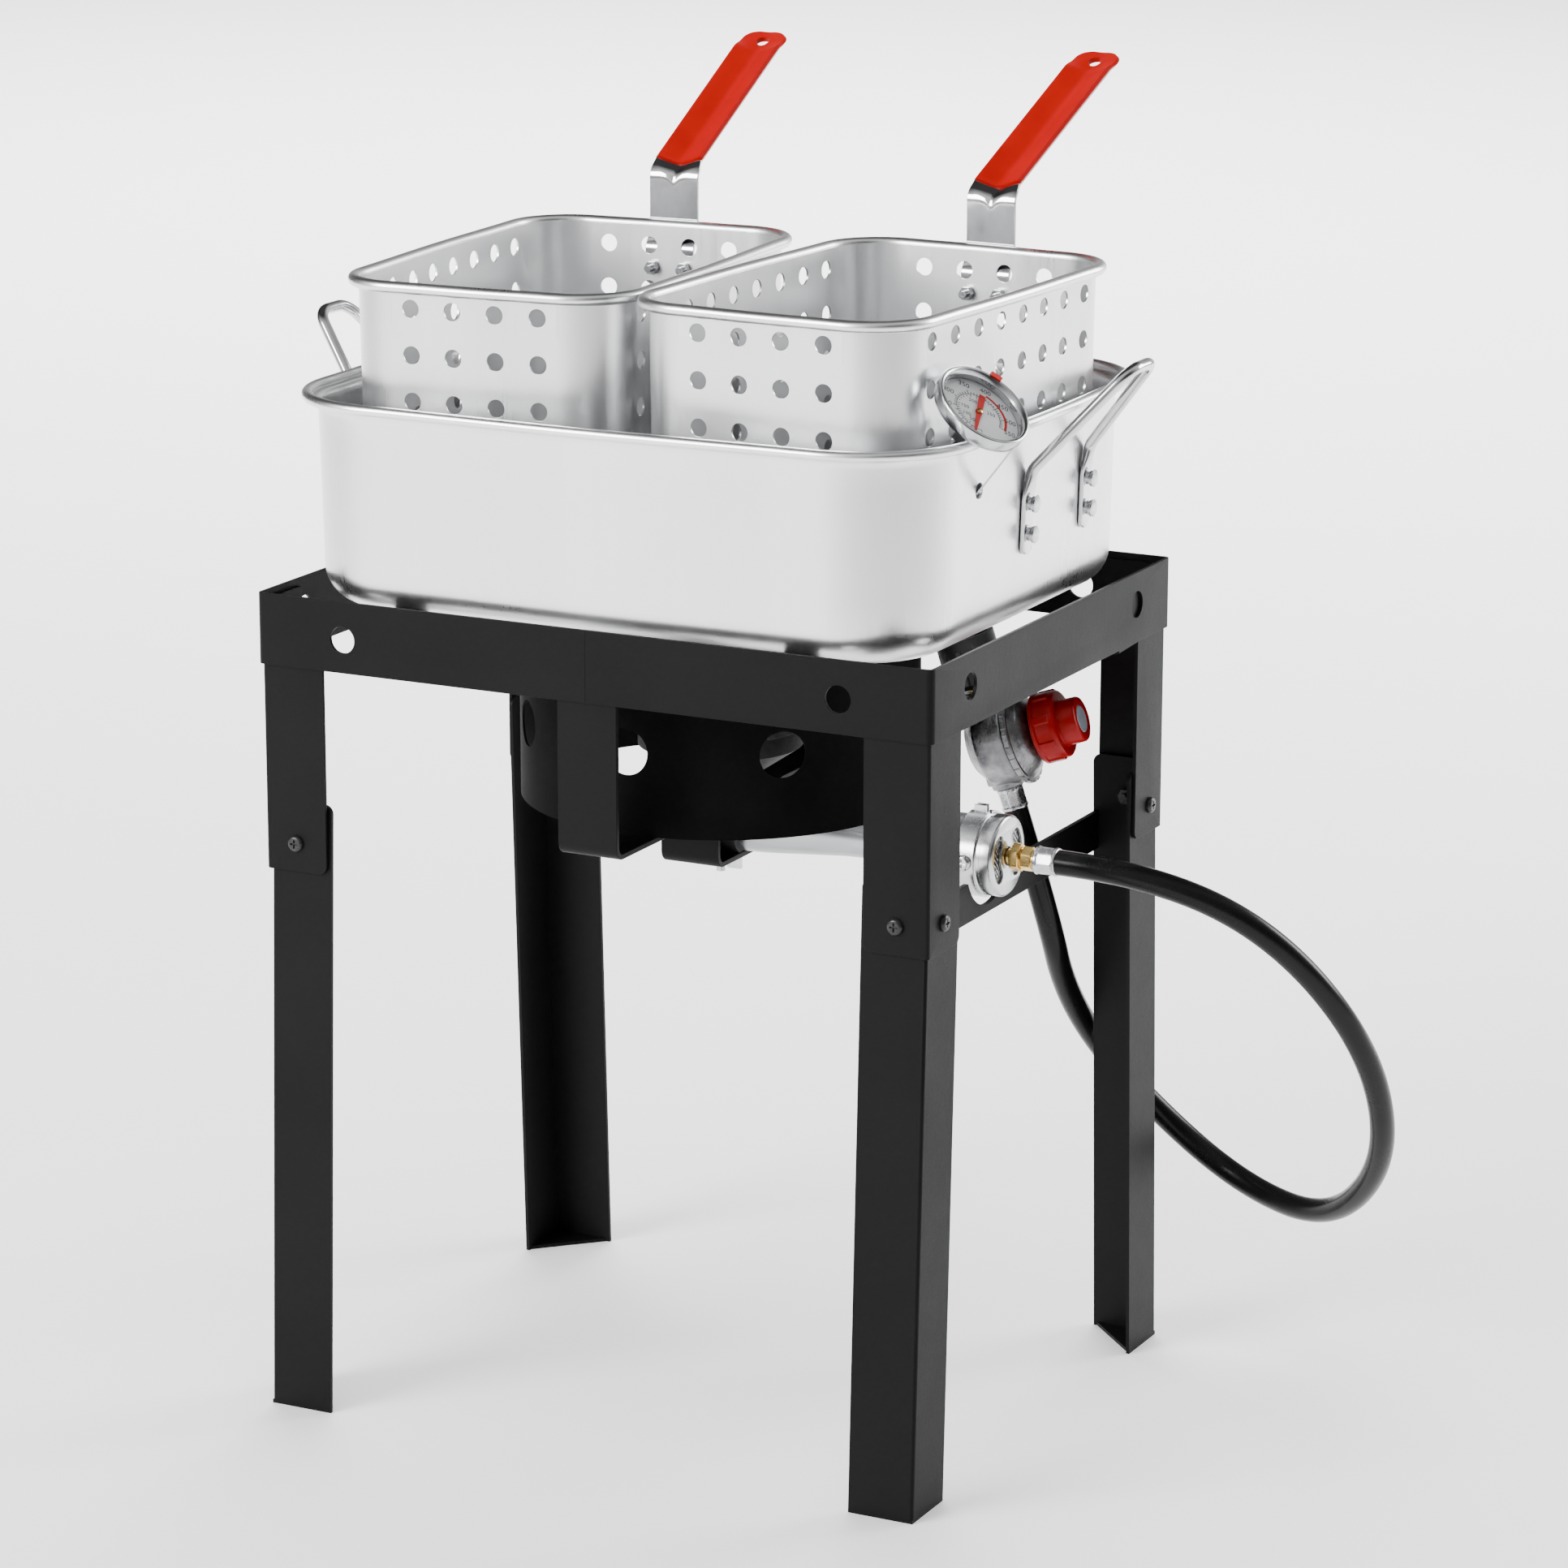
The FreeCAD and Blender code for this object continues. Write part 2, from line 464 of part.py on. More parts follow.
def pan_handle(yc):
    """Rod handle of the right wall centred on yc, with its rivets and the holes for them."""
    rivet_set, wall_holes, parts = [], [], []
    for y in (yc - FOOT_HALF, yc + FOOT_HALF):
        for z in RIVETS:
            seat = V(wall_x(z), y, z)
            inside = seat - out_dir * (PAN_T + 1.55)
            body = cyl(2.5, (inside.x, y, inside.z), out_dir, PAN_T + 1.55 + 3.0 + 4.0)
            body = body.fuse(cyl(4.6, (inside.x, y, inside.z), out_dir, 1.5))
            tip = seat + out_dir * 3.0
            body = body.fuse(cyl(4.8, (tip.x, y, tip.z), out_dir, 4.5)).removeSplitter()
            rivet_set.append(body)
            wall_holes.append(cyl(2.5, (inside.x, y, inside.z), out_dir, 20.0))
        pl = frame(V(PAN_BOT[0], y, PAN_Z0), out_dir, Y, out_dir.cross(Y))
        z0, z1 = (497.0 - PAN_Z0) / math.cos(lean), (541.0 - PAN_Z0) / math.cos(lean)
        flat = box(0.0, 3.0, -6.0, 6.0, z0, z1)
        flat = flat.makeFillet(3.0, [e for e in flat.Edges if abs(e.tangentAt(e.FirstParameter).x) > 0.9
                                     and abs(e.CenterOfMass.z - z0) < 1e-3])
        parts.append(placed(flat, pl))
    x0, y0, y1 = wall_x(541.0) + 3.6, yc - FOOT_HALF, yc + FOOT_HALF
    rod_pts = [V(x0 - 0.6, y0, 532.0), V(x0, y0, 543.0), V(239.0, yc - 15.0, 596.0),
               V(239.0, yc + 15.0, 596.0), V(x0, y1, 543.0), V(x0 - 0.6, y1, 532.0)]
    holes = Part.makeCompound(wall_holes)
    shape = parts[0].fuse(parts[1]).fuse(tube(rod_pts, 6.4, [7.0, 12.0, 12.0, 7.0]))
    return shape.cut(solid_wall).removeSplitter().cut(holes), rivet_set, holes


def flipped(shape):
    return shape.mirror(V(0, 0, 0), X)


handle_r, rivets_r, holes_r = pan_handle(HANDLE_Y["right"])
handle_l, rivets_l, holes_l = pan_handle(HANDLE_Y["left"])
pan = pan.cut(holes_r).cut(flipped(holes_l)).removeSplitter()
save("pan", pan)
save("pan_rivets", Part.makeCompound(rivets_r + [flipped(r) for r in rivets_l]))
save("pan_handle_right", handle_r)
save("pan_handle_left", flipped(handle_l))

# ---------------------------------------------------------------- baskets
shell = tub(BASKET_TOP, BASKET_BOT, BASKET_Z0, BASKET_Z1, 9.0)
shell = shell.cut(tub(inset(BASKET_TOP, BASKET_T), inset(BASKET_BOT, BASKET_T), BASKET_Z0 + BASKET_T,
                      BASKET_Z1, 7.8))
loop = rounded(*BASKET_BEAD, BASKET_Z1)
start = loop.Edges[0].Vertexes[0].Point
bead = loop.makePipeShell([Part.Wire([Part.Circle(start, loop.Edges[0].tangentAt(loop.Edges[0].FirstParameter),
                                                  BASKET_BEAD_R).toShape()])], True, True)
inner_top = Part.Face(rounded(*inset(BASKET_TOP, BASKET_T), BASKET_Z1 - 4)).extrude(Z * 8)
shell = shell.fuse(bead).cut(inner_top)
drills = []
for row in range(6):
    z = 621.5 - 25.2 * row
    for col in range(4):
        drills.append(cyl(BASKET_HOLE_D / 2, ((col - 1.5) * HOLE_PITCH, -140, z), Y, 280))
    for col in range(8):
        drills.append(cyl(BASKET_HOLE_D / 2, (-100, (col - 3.5) * HOLE_PITCH, z), X, 200))
for col in range(4):
    for k in range(8):
        drills.append(cyl(BASKET_HOLE_D / 2, ((col - 1.5) * HOLE_PITCH, (k - 3.5) * HOLE_PITCH, 450), Z, 20))
shell = shell.cut(Part.makeCompound(drills))
BOLT_X, BOLT_Z = 9.8, 609.0
bolt_axes = [cyl(2.1, (s * BOLT_X, 110, BOLT_Z), Y, 30) for s in (-1, 1)]
shell = shell.cut(Part.makeCompound(bolt_axes)).removeSplitter()

wall_y = BASKET_TOP[1] - 0.35
yb, yo = wall_y + 1.1, BASKET_BEAD[1] + BASKET_BEAD_R + 1.3
arm_a = math.radians(25.0)
arm_l = 128.0
arm = [(yb, 599.0), (yb, 621.0), (yo, 629.0), (yo, 664.0),
       (yo + arm_l * math.cos(arm_a), 664.0 + arm_l * math.sin(arm_a))]
strap_b = in_yz(strip(arm, 2.0, 30.0, 4.0))
narrow = [box(sx_ * 11.0 if sx_ > 0 else -40.0, 40.0 if sx_ > 0 else -11.0, 137.5, 300, 640, 780)
          for sx_ in (-1, 1)]
strap_b = strap_b.cut(Part.makeCompound(narrow)).cut(Part.makeCompound(bolt_axes))
end_y, end_z = yo + arm_l * math.cos(arm_a), 664.0 + arm_l * math.sin(arm_a)
ad, an = V(0, math.cos(arm_a), math.sin(arm_a)), V(0, -math.sin(arm_a), math.cos(arm_a))
GRIP_S0, GRIP_L = 8.0, 142.0
grip = box(-14.5, 14.5, GRIP_S0, GRIP_S0 + GRIP_L, -5.5, 5.5)
grip = grip.makeFillet(14.0, [e for e in grip.Edges if abs(e.tangentAt(e.FirstParameter).z) > 0.9
                              and e.CenterOfMass.y > GRIP_S0 + GRIP_L - 1])
grip = grip.makeFillet(4.0, [e for e in grip.Edges if abs(abs(e.CenterOfMass.z) - 5.5) < 0.01
                             and e.CenterOfMass.y > GRIP_S0 + 1])
grip = placed(grip, frame(V(0, yo, 664.0), X, ad, an)).cut(cyl(4.0, (0, 0, 0), Z, 1))
hang_c = V(0, yo, 664.0) + ad * (GRIP_S0 + GRIP_L - 10.0) - an * 10
grip = grip.cut(cyl(4.0, (hang_c.x, hang_c.y, hang_c.z), an, 20)).cut(strap_b)
b_bolts, b_nuts = [], []
for s in (-1, 1):
    p = V(s * BOLT_X, yb + 1.0, BOLT_Z)
    b = cyl(3.6, (p.x, p.y, p.z), Y, 1.8)
    b = b.makeFillet(1.2, [e for e in b.Edges if len(e.Vertexes) == 1 and e.CenterOfMass.y > p.y + 1])
    b_bolts.append(b.fuse(cyl(2.0, (p.x, p.y - 11.0, p.z), Y, 11.0)).removeSplitter())
    n_y = wall_y - BASKET_T - 3.4
    b_nuts.append(hexagon(7.0, (p.x, n_y, p.z), Y, 3.2).cut(cyl(2.05, (p.x, n_y - 1, p.z), Y, 8)))


def in_basket(shape, side):
    s = shape.copy()
    x, turn = BASKETS[side]
    s.rotate(V(0, 0, 0), Z, turn)
    s.translate(V(x, 0, 0))
    return s


for side in BASKETS:
    save("basket_%s" % side, in_basket(shell, side))
    save("basket_handle_%s" % side, in_basket(strap_b, side))
    save("basket_grip_%s" % side, in_basket(grip, side))
    save("basket_bolts_%s" % side, in_basket(Part.makeCompound(b_bolts), side))
    save("basket_nuts_%s" % side, in_basket(Part.makeCompound(b_nuts), side))

# ---------------------------------------------------------------- thermometer
TC = V(198.0, -84.0, 590.0)            # middle of the bezel face
tn = V(0.634, -0.163, 0.752).normalize()
td = V(0.767, 0.214, -0.600)
td = (td - tn * td.dot(tn)).normalize()
tw = tn.cross(td)
T_PL = frame(TC, td, tw, tn)           # local z out of the dial, local x down over the rim


def thermo(shape):
    return placed(shape, T_PL)


case = cyl(27.0, (0, 0, -9.0), Z, 9.0)
case = case.makeFillet(1.6, [e for e in case.Edges if len(e.Vertexes) == 1])
case = case.cut(cyl(23.0, (0, 0, -7.5), Z, 20)).cut(cyl(24.0, (0, 0, -7.5), Z, 4.6))
case = case.cut(Part.makeCone(23.0, 24.5, 1.5, V(0, 0, -1.5)))
save("thermometer_case", thermo(case))
save("thermometer_glass", thermo(cyl(23.9, (0, 0, -3.8), Z, 0.8)))
save("thermometer_dial", thermo(cyl(23.9, (0, 0, -7.5), Z, 0.6).cut(cyl(1.3, (0, 0, -8), Z, 2))))
needle = cyl(2.2, (0, 0, -6.4), Z, 0.8)
blade = Part.Face(Part.makePolygon([V(-1.6, 0, -6.2), V(1.6, 0, -6.2), V(1.9, 14.0, -6.2), V(-1.9, 14.0, -6.2),
                                    V(-1.6, 0, -6.2)])).extrude(Z * 0.4)
tail = Part.Face(Part.makePolygon([V(-1.6, 0, -6.2), V(1.6, 0, -6.2), V(0.5, -19.0, -6.2), V(-0.5, -19.0, -6.2),
                                   V(-1.6, 0, -6.2)])).extrude(Z * 0.4)
needle = needle.fuse(blade).fuse(tail).fuse(cyl(1.2, (0, 0, -7.4), Z, 1.2)).removeSplitter()
NEEDLE_A = 16.0
needle.rotate(V(0, 0, 0), Z, NEEDLE_A)
save("thermometer_needle", thermo(needle))
mark = ring(28.3, 27.2, (0, 0, -6.0), Z, 7.0).fuse(ring(28.3, 24.6, (0, 0, 0.3), Z, 0.7))
wedge = Part.makeCylinder(40, 20, V(0, 0, -10), Z, 14)
wedge.rotate(V(0, 0, 0), Z, 83)
mark = mark.common(wedge).removeSplitter()
MARK_A = 10.0
mark.rotate(V(0, 0, 0), Z, MARK_A)
save("thermometer_marker", thermo(mark))
neck = ring(5.0, 2.05, (0, 0, -20.0), Z, 11.0).fuse(hexagon(11.0, (0, 0, -25.5), Z, 5.5)
                                                   .cut(cyl(2.05, (0, 0, -30), Z, 12)))
save("thermometer_neck", thermo(neck.removeSplitter()))
s0, s1 = TC - tn * 9.0, TC - tn * 33.0
stem_pts = [s0, s1, V(s1.x - 0.6, s1.y, 480.0)]
save("thermometer_stem", tube(stem_pts, 4.0, [10.0]))
CLIP_L = 50.0
clip = box(0, 25.5, -2.6, 2.6, -11.5, -10.5).fuse(cyl(7.5, (0, 0, -11.5), Z, 1.0)).cut(cyl(5.05, (0, 0, -15), Z, 10))
clip = clip.fuse(box(25.0, 26.0, -2.6, 2.6, -CLIP_L, -10.5)).removeSplitter()
save("thermometer_clip", thermo(clip))
tip = TC + td * 25.5 - tn * CLIP_L
print("clip tip %.1f %.1f %.1f" % (tip.x, tip.y, tip.z))
print("regulator axis n (%.4f, %.4f, %.4f), outlet m (%.4f, %.4f, %.4f)" % (*rn, *rm))
print("thermometer axis (%.4f, %.4f, %.4f)" % tuple(tn))
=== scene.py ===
import json
from math import atan2, cos, hypot, pi, radians, sin, sqrt, tan

import bmesh
import bpy
from mathutils import Matrix, Vector


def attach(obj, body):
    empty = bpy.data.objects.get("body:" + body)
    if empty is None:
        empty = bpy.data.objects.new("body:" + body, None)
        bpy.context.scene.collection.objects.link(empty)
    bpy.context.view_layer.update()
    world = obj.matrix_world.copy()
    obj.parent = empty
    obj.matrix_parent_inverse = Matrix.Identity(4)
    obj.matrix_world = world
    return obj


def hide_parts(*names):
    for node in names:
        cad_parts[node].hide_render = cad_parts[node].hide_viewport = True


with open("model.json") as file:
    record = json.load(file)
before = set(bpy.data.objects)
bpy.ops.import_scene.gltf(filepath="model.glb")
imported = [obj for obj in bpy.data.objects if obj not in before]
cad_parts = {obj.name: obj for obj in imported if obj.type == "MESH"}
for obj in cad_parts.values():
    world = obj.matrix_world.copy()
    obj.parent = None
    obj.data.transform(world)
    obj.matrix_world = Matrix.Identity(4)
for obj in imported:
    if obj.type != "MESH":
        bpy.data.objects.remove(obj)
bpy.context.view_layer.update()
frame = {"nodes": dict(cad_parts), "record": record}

NODES = frame["nodes"]
MM = 0.001
X, Y, Z = Vector((1, 0, 0)), Vector((0, 1, 0)), Vector((0, 0, 1))
BODY_OF = {n: b for b, ns in frame["record"]["behaviour"]["bodies"].items() for n in ns}
CORNERS = ("fl", "fr", "rl", "rr")


def new_object(name, data):
    """Object in the scene's own collection."""
    o = bpy.data.objects.new(name, data)
    bpy.context.scene.collection.objects.link(o)
    return o


def as_mesh(o):
    """The object's final shape as a mesh of its own."""
    bpy.context.view_layer.update()
    return bpy.data.meshes.new_from_object(o.evaluated_get(bpy.context.evaluated_depsgraph_get()))


# ------------------------ camera, in m, mm of lens and degrees
CAMERA_AT = (1.3687, -2.6315, 1.1112)
AZIMUTH, ELEVATION, ROLL = 26.8, 14.49, 0.08
LENS_MM, SENSOR_MM = 126.428571, 36.0


def make_camera():
    """Long lens, from the front right and a little above."""
    az, el, roll = (radians(a) for a in (AZIMUTH, ELEVATION, ROLL))
    back = Vector((sin(az) * cos(el), -cos(az) * cos(el), sin(el)))
    right = Vector((cos(az), sin(az), 0.0))
    up = back.cross(right)
    r = right * cos(roll) + up * sin(roll)
    u = up * cos(roll) - right * sin(roll)
    m = Matrix((r, u, back)).transposed().to_4x4()
    m.translation = CAMERA_AT
    data = bpy.data.cameras.new("camera")
    data.lens, data.sensor_width, data.sensor_fit = LENS_MM, SENSOR_MM, "AUTO"
    data.clip_start, data.clip_end = 0.05, 60.0
    cam = new_object("camera", data)
    cam.matrix_world = m
    bpy.context.scene.camera = cam


make_camera()


# ------------------------ materials
EVEN = (1, 1, 1)                       # texture stretch: the same along all three axes
VERTICAL = (1.0, 1.0, 0.05)


def add(nt, kind, **inputs):
    """New shader node with constants on its inputs."""
    n = nt.nodes.new(kind)
    for key, value in inputs.items():
        n.inputs[key].default_value = value
    return n


def combine(nt, kind, operation, a, b, out=0):
    """Math node on links or constants."""
    n = nt.nodes.new(kind)
    n.operation = operation
    for socket, value in zip(n.inputs, (a, b)):
        if isinstance(value, bpy.types.NodeSocket):
            nt.links.new(value, socket)
        else:
            socket.default_value = value
    return n.outputs[out]


def texture_input(nt, stretch, offset=(0, 0, 0)):
    tc = add(nt, "ShaderNodeTexCoord")
    mp = add(nt, "ShaderNodeMapping", Scale=stretch, Location=offset)
    nt.links.new(tc.outputs["Object"], mp.inputs["Vector"])
    return mp.outputs["Vector"]


def noise(nt, scale, stretch=EVEN, detail=4.0):
    n = add(nt, "ShaderNodeTexNoise", Scale=scale, Detail=detail, Roughness=0.55)
    nt.links.new(texture_input(nt, stretch), n.inputs["Vector"])
    return n.outputs["Fac"]


def ramp(nt, fac, a, b, lo=0.3, hi=0.7):
    """Colour ramp from a to b over the part lo..hi of fac; a and b are greys or colours."""
    r = nt.nodes.new("ShaderNodeValToRGB")
    for e, pos, c in zip(r.color_ramp.elements, (lo, hi), (a, b)):
        e.position = pos
        e.color = (*c, 1.0) if hasattr(c, "__len__") else (c, c, c, 1.0)
    nt.links.new(fac, r.inputs["Fac"])
    return r.outputs["Color"]


def bumped(nt, height, strength, distance, normal=None):
    b = add(nt, "ShaderNodeBump", Strength=strength, Distance=distance)
    nt.links.new(height, b.inputs["Height"])
    if normal is not None:
        nt.links.new(normal, b.inputs["Normal"])
    return b.outputs["Normal"]


def surface(name, light, dark, metallic, rough, tone=(30, EVEN), grain=(900, EVEN, 0.3, 0.00003),
            dents=None, **sockets):
    """Principled material whose colour and roughness vary between their two values.

    tone is the scale and stretch of that noise, grain the scale, stretch, strength and depth in m of a fine
    bump, and dents the scale, strength and depth of a coarse one.
    """
    m = bpy.data.materials.new(name)
    m.use_nodes = True
    nt = m.node_tree
    b = nt.nodes["Principled BSDF"]
    b.inputs["Metallic"].default_value = metallic
    for key, value in sockets.items():
        b.inputs[key.replace("_", " ")].default_value = value
    spread = noise(nt, tone[0], tone[1])
    nt.links.new(ramp(nt, spread, dark, light), b.inputs["Base Color"])
    fine = noise(nt, grain[0], grain[1], 3.0)
    total = combine(nt, "ShaderNodeMath", "ADD", spread, fine)
    mean = combine(nt, "ShaderNodeMath", "MULTIPLY", total, 0.5)
    nt.links.new(ramp(nt, mean, *rough), b.inputs["Roughness"])
    normal = bumped(nt, fine, grain[2], grain[3])
    if dents:
        normal = bumped(nt, noise(nt, dents[0], EVEN, 2.0), dents[1], dents[2], normal)
    nt.links.new(normal, b.inputs["Normal"])
    return m


def turned(m, centre, axis, scale, strength, distance):
    """Adds fine lathe rings round an axis to a material."""
    nt = m.node_tree
    b = nt.nodes["Principled BSDF"]
    w = add(nt, "ShaderNodeTexWave", Scale=scale, Distortion=1.5, Detail=3.0)
    w.wave_type, w.rings_direction = "RINGS", axis
    nt.links.new(texture_input(nt, EVEN, tuple(-c for c in centre)), w.inputs["Vector"])
    old = b.inputs["Normal"].links[0].from_socket
    nt.links.new(bumped(nt, w.outputs["Fac"], strength, distance, old), b.inputs["Normal"])
    return m


MATS = {
    "black_steel": surface("powder_coat", (0.0052, 0.0052, 0.0054), (0.0036, 0.0036, 0.0038), 0.0,
                           (0.42, 0.56), (14, EVEN), (1400, EVEN, 0.35, 0.00012), (240, 0.12, 0.0004),
                           Specular_IOR_Level=0.10),
    "guard_black": surface("heat_black", (0.0050, 0.0050, 0.0050), (0.0028, 0.0028, 0.0028), 0.0, (0.6, 0.75),
                           (30, EVEN), (1200, EVEN, 0.4, 0.00015), (200, 0.15, 0.0005),
                           Specular_IOR_Level=0.03),
    "burner_iron": surface("cast_iron", (0.035, 0.034, 0.033), (0.012, 0.012, 0.012), 0.25, (0.55, 0.8),
                           (60, EVEN), (700, EVEN, 0.6, 0.0004), (150, 0.4, 0.0008)),
    "bright_tube": surface("zinc_tube", (0.50, 0.51, 0.52), (0.36, 0.37, 0.38), 1.0, (0.24, 0.42),
                           (60, (0.3, 1, 1)), (600, (0.1, 1, 1), 0.15, 0.00005)),
    "shutter_metal": turned(surface("turned_steel", (0.66, 0.66, 0.67), (0.56, 0.57, 0.58), 1.0, (0.2, 0.3),
                                    (90, EVEN), (800, EVEN, 0.1, 0.00003)),
                            (0, 0, 0.325), "X", 260, 0.08, 0.00003),
    "pan_aluminium": surface("satin_aluminium", (0.93, 0.935, 0.94), (0.85, 0.855, 0.865), 1.0, (0.25, 0.38),
                             (22, VERTICAL), (900, (1, 1, 0.02), 0.10, 0.00004), (16, 0.10, 0.0012)),
    "chrome_rod": surface("chrome", (0.72, 0.72, 0.73), (0.62, 0.62, 0.64), 1.0, (0.06, 0.16),
                          (120, EVEN), (500, EVEN, 0.06, 0.00003)),
    "bright_steel": surface("zinc_steel", (0.66, 0.66, 0.68), (0.46, 0.47, 0.49), 1.0, (0.16, 0.34),
                            (300, EVEN), (900, EVEN, 0.2, 0.00004)),
    "black_screw": surface("black_zinc", (0.035, 0.035, 0.037), (0.014, 0.014, 0.015), 0.55, (0.22, 0.42),
                           (300, EVEN), (1200, EVEN, 0.3, 0.00005)),
    "brass": surface("yellow_brass", (0.80, 0.56, 0.20), (0.66, 0.45, 0.16), 1.0, (0.18, 0.30),
                     (120, EVEN), (900, (0.2, 1, 1), 0.10, 0.00002)),
    "die_cast": surface("die_cast_zinc", (0.40, 0.40, 0.41), (0.13, 0.13, 0.14), 1.0, (0.26, 0.46),
                        (110, EVEN), (520, EVEN, 0.55, 0.0004), (170, 0.4, 0.0008)),
    "hose_rubber": surface("hose_rubber", (0.0052, 0.0052, 0.0055), (0.0038, 0.0038, 0.004), 0.0,
                           (0.20, 0.30), (45, EVEN), (900, EVEN, 0.2, 0.00008), (60, 0.1, 0.0006),
                           Specular_IOR_Level=0.16),
    "knob_red": surface("knob_plastic", (0.34, 0.0, 0.001), (0.28, 0.0, 0.001), 0.0, (0.26, 0.38),
                        (80, EVEN), (1100, EVEN, 0.15, 0.00006), Specular_IOR_Level=0.2),
    "cap_grey": surface("cap_plastic", (0.30, 0.34, 0.38), (0.22, 0.25, 0.29), 0.0, (0.4, 0.55),
                        (200, EVEN), (1200, EVEN, 0.3, 0.0001)),
    "grip_red": surface("dipped_vinyl", (0.34, 0.0, 0.0), (0.28, 0.0, 0.0), 0.0, (0.3, 0.42),
                        (35, EVEN), (700, EVEN, 0.12, 0.0001), (110, 0.12, 0.0006),
                        Specular_IOR_Level=0.08),
    "seal_rubber": surface("nut_plastic", (0.022, 0.023, 0.024), (0.013, 0.013, 0.014), 0.0, (0.4, 0.56),
                           (90, EVEN), (900, EVEN, 0.3, 0.0001)),
    "case_steel": surface("case_steel", (0.62, 0.63, 0.64), (0.50, 0.51, 0.53), 1.0, (0.14, 0.26),
                          (150, EVEN), (900, EVEN, 0.1, 0.00003)),
    "dial_face": surface("dial_face", (0.66, 0.67, 0.68), (0.56, 0.57, 0.58), 0.15, (0.34, 0.5),
                         (60, EVEN), (1500, EVEN, 0.1, 0.00002)),
    "lens": surface("glass", (0.02, 0.02, 0.02), (0.01, 0.01, 0.01), 0.0, (0.02, 0.05),
                    (100, EVEN), (300, EVEN, 0.01, 0.00001), Alpha=0.07),
    "needle_red": surface("signal_red", (0.45, 0.0, 0.0), (0.38, 0.0, 0.0), 0.0, (0.3, 0.42),
                          (200, EVEN), (1500, EVEN, 0.1, 0.00002)),
}
INK = surface("dial_ink", (0.02, 0.02, 0.02), (0.012, 0.012, 0.012), 0.0, (0.5, 0.6))

SLOTS = {
    "black_steel": ["top_band", "tube_rest", "burner_strap", "pan_bars", "regulator_hanger"]
    + ["%s_leg_%s" % (k, c) for k in ("upper", "lower") for c in CORNERS],
    "guard_black": ["wind_guard"],
    "burner_iron": ["burner_head"],
    "bright_tube": ["venturi_tube"],
    "shutter_metal": ["air_shutter", "shutter_clamp", "shutter_mesh"],
    "pan_aluminium": ["pan", "basket_left", "basket_right"],
    "chrome_rod": ["pan_handle_right", "pan_handle_left", "basket_handle_left", "basket_handle_right"],
    "bright_steel": ["basket_bolts_left", "basket_bolts_right", "basket_nuts_left", "basket_nuts_right",
                     "burner_bolt", "wing_nut", "burner_ferrule", "regulator_ferrule", "shutter_screw",
                     "thermometer_clip", "regulator_spring", "adjusting_screw", "pan_rivets"],
    "black_screw": ["leg_screws", "leg_nuts"],
    "brass": ["orifice_fitting", "hose_coupling", "inlet_stem"],
    "die_cast": ["regulator_body", "regulator_bonnet"],
    "hose_rubber": ["hose"],
    "knob_red": ["regulator_knob"],
    "cap_grey": ["knob_cap"],
    "grip_red": ["basket_grip_left", "basket_grip_right"],
    "seal_rubber": ["inlet_nut", "diaphragm"],
    "case_steel": ["thermometer_case", "thermometer_neck", "thermometer_stem"],
    "dial_face": ["thermometer_dial"],
    "lens": ["thermometer_glass"],
    "needle_red": ["thermometer_needle", "thermometer_marker"],
}
SLOT_OF = {n: s for s, ns in SLOTS.items() for n in ns}
for node, slot in SLOT_OF.items():
    NODES[node].data.materials.clear()
    NODES[node].data.materials.append(MATS[slot])


# ------------------------ mesh helpers, all in mm
MERGE = 0.002                          # points closer than this are one point


def place(o, ax, ay, az):
    m = Matrix((ax, ay, az)).transposed().to_4x4()
    m.translation = Vector(o)
    return m


def skin(bm, loops, m=None, closed=False, caps=True):
    """Quads between loops of equal length; closed joins the last loop to the first, caps fill the ends."""
    rings = [[bm.verts.new(m @ Vector(p) if m else Vector(p)) for p in loop] for loop in loops]
    pairs = list(zip(rings, rings[1:])) + ([(rings[-1], rings[0])] if closed else [])
    for a, b in pairs:
        n = len(a)
        for j in range(n):
            bm.faces.new((a[j], a[(j + 1) % n], b[(j + 1) % n], b[j]))
    if caps and not closed:
        bm.faces.new(list(reversed(rings[0])))
        bm.faces.new(rings[-1])


def circle(r, z, n=48, shape=None):
    return [(r * cos(2 * pi * k / n) * (shape(k / n) if shape else 1),
             r * sin(2 * pi * k / n) * (shape(k / n) if shape else 1), z) for k in range(n)]


def lathe(bm, profile, m, n=64, closed=False):
    """Turned shape from (z, r) pairs about the local z axis."""
    skin(bm, [circle(max(r, 0.01), z, n) for z, r in profile], m, closed)


def arc(cx, cy, r, a0, a1, n):
    """Points on an arc, in degrees, ends included."""
    return [(cx + r * cos(radians(a0 + (a1 - a0) * k / n)),
             cy + r * sin(radians(a0 + (a1 - a0) * k / n))) for k in range(n + 1)]


def rounded(hx, hy, r, z, bow=(0.0, 0.0), n=(32, 24, 10)):
    """Loop of a rounded rectangle whose sides bulge by bow, without a kink at the corners."""
    pts = []
    for q in range(4):
        a = 90 * q
        flat = (hy - r) if q % 2 == 0 else (hx - r)
        reach, out, steps = (hx, bow[0], n[1]) if q % 2 == 0 else (hy, bow[1], n[0])
        for k in range(steps):
            t = -1 + 2 * k / steps
            p = Vector((reach + out * (1 + cos(pi * t)) / 2, flat * t))
            pts.append(p @ Matrix.Rotation(-radians(a), 2))
        cx, cy = (hx - r, hy - r) if q % 2 == 0 else (hy - r, hx - r)
        for k in range(n[2]):
            t = radians(90 * k / n[2])
            p = Vector((cx + r * cos(t), cy + r * sin(t)))
            pts.append(p @ Matrix.Rotation(-radians(a), 2))
    return [(p.x, p.y, z) for p in pts]


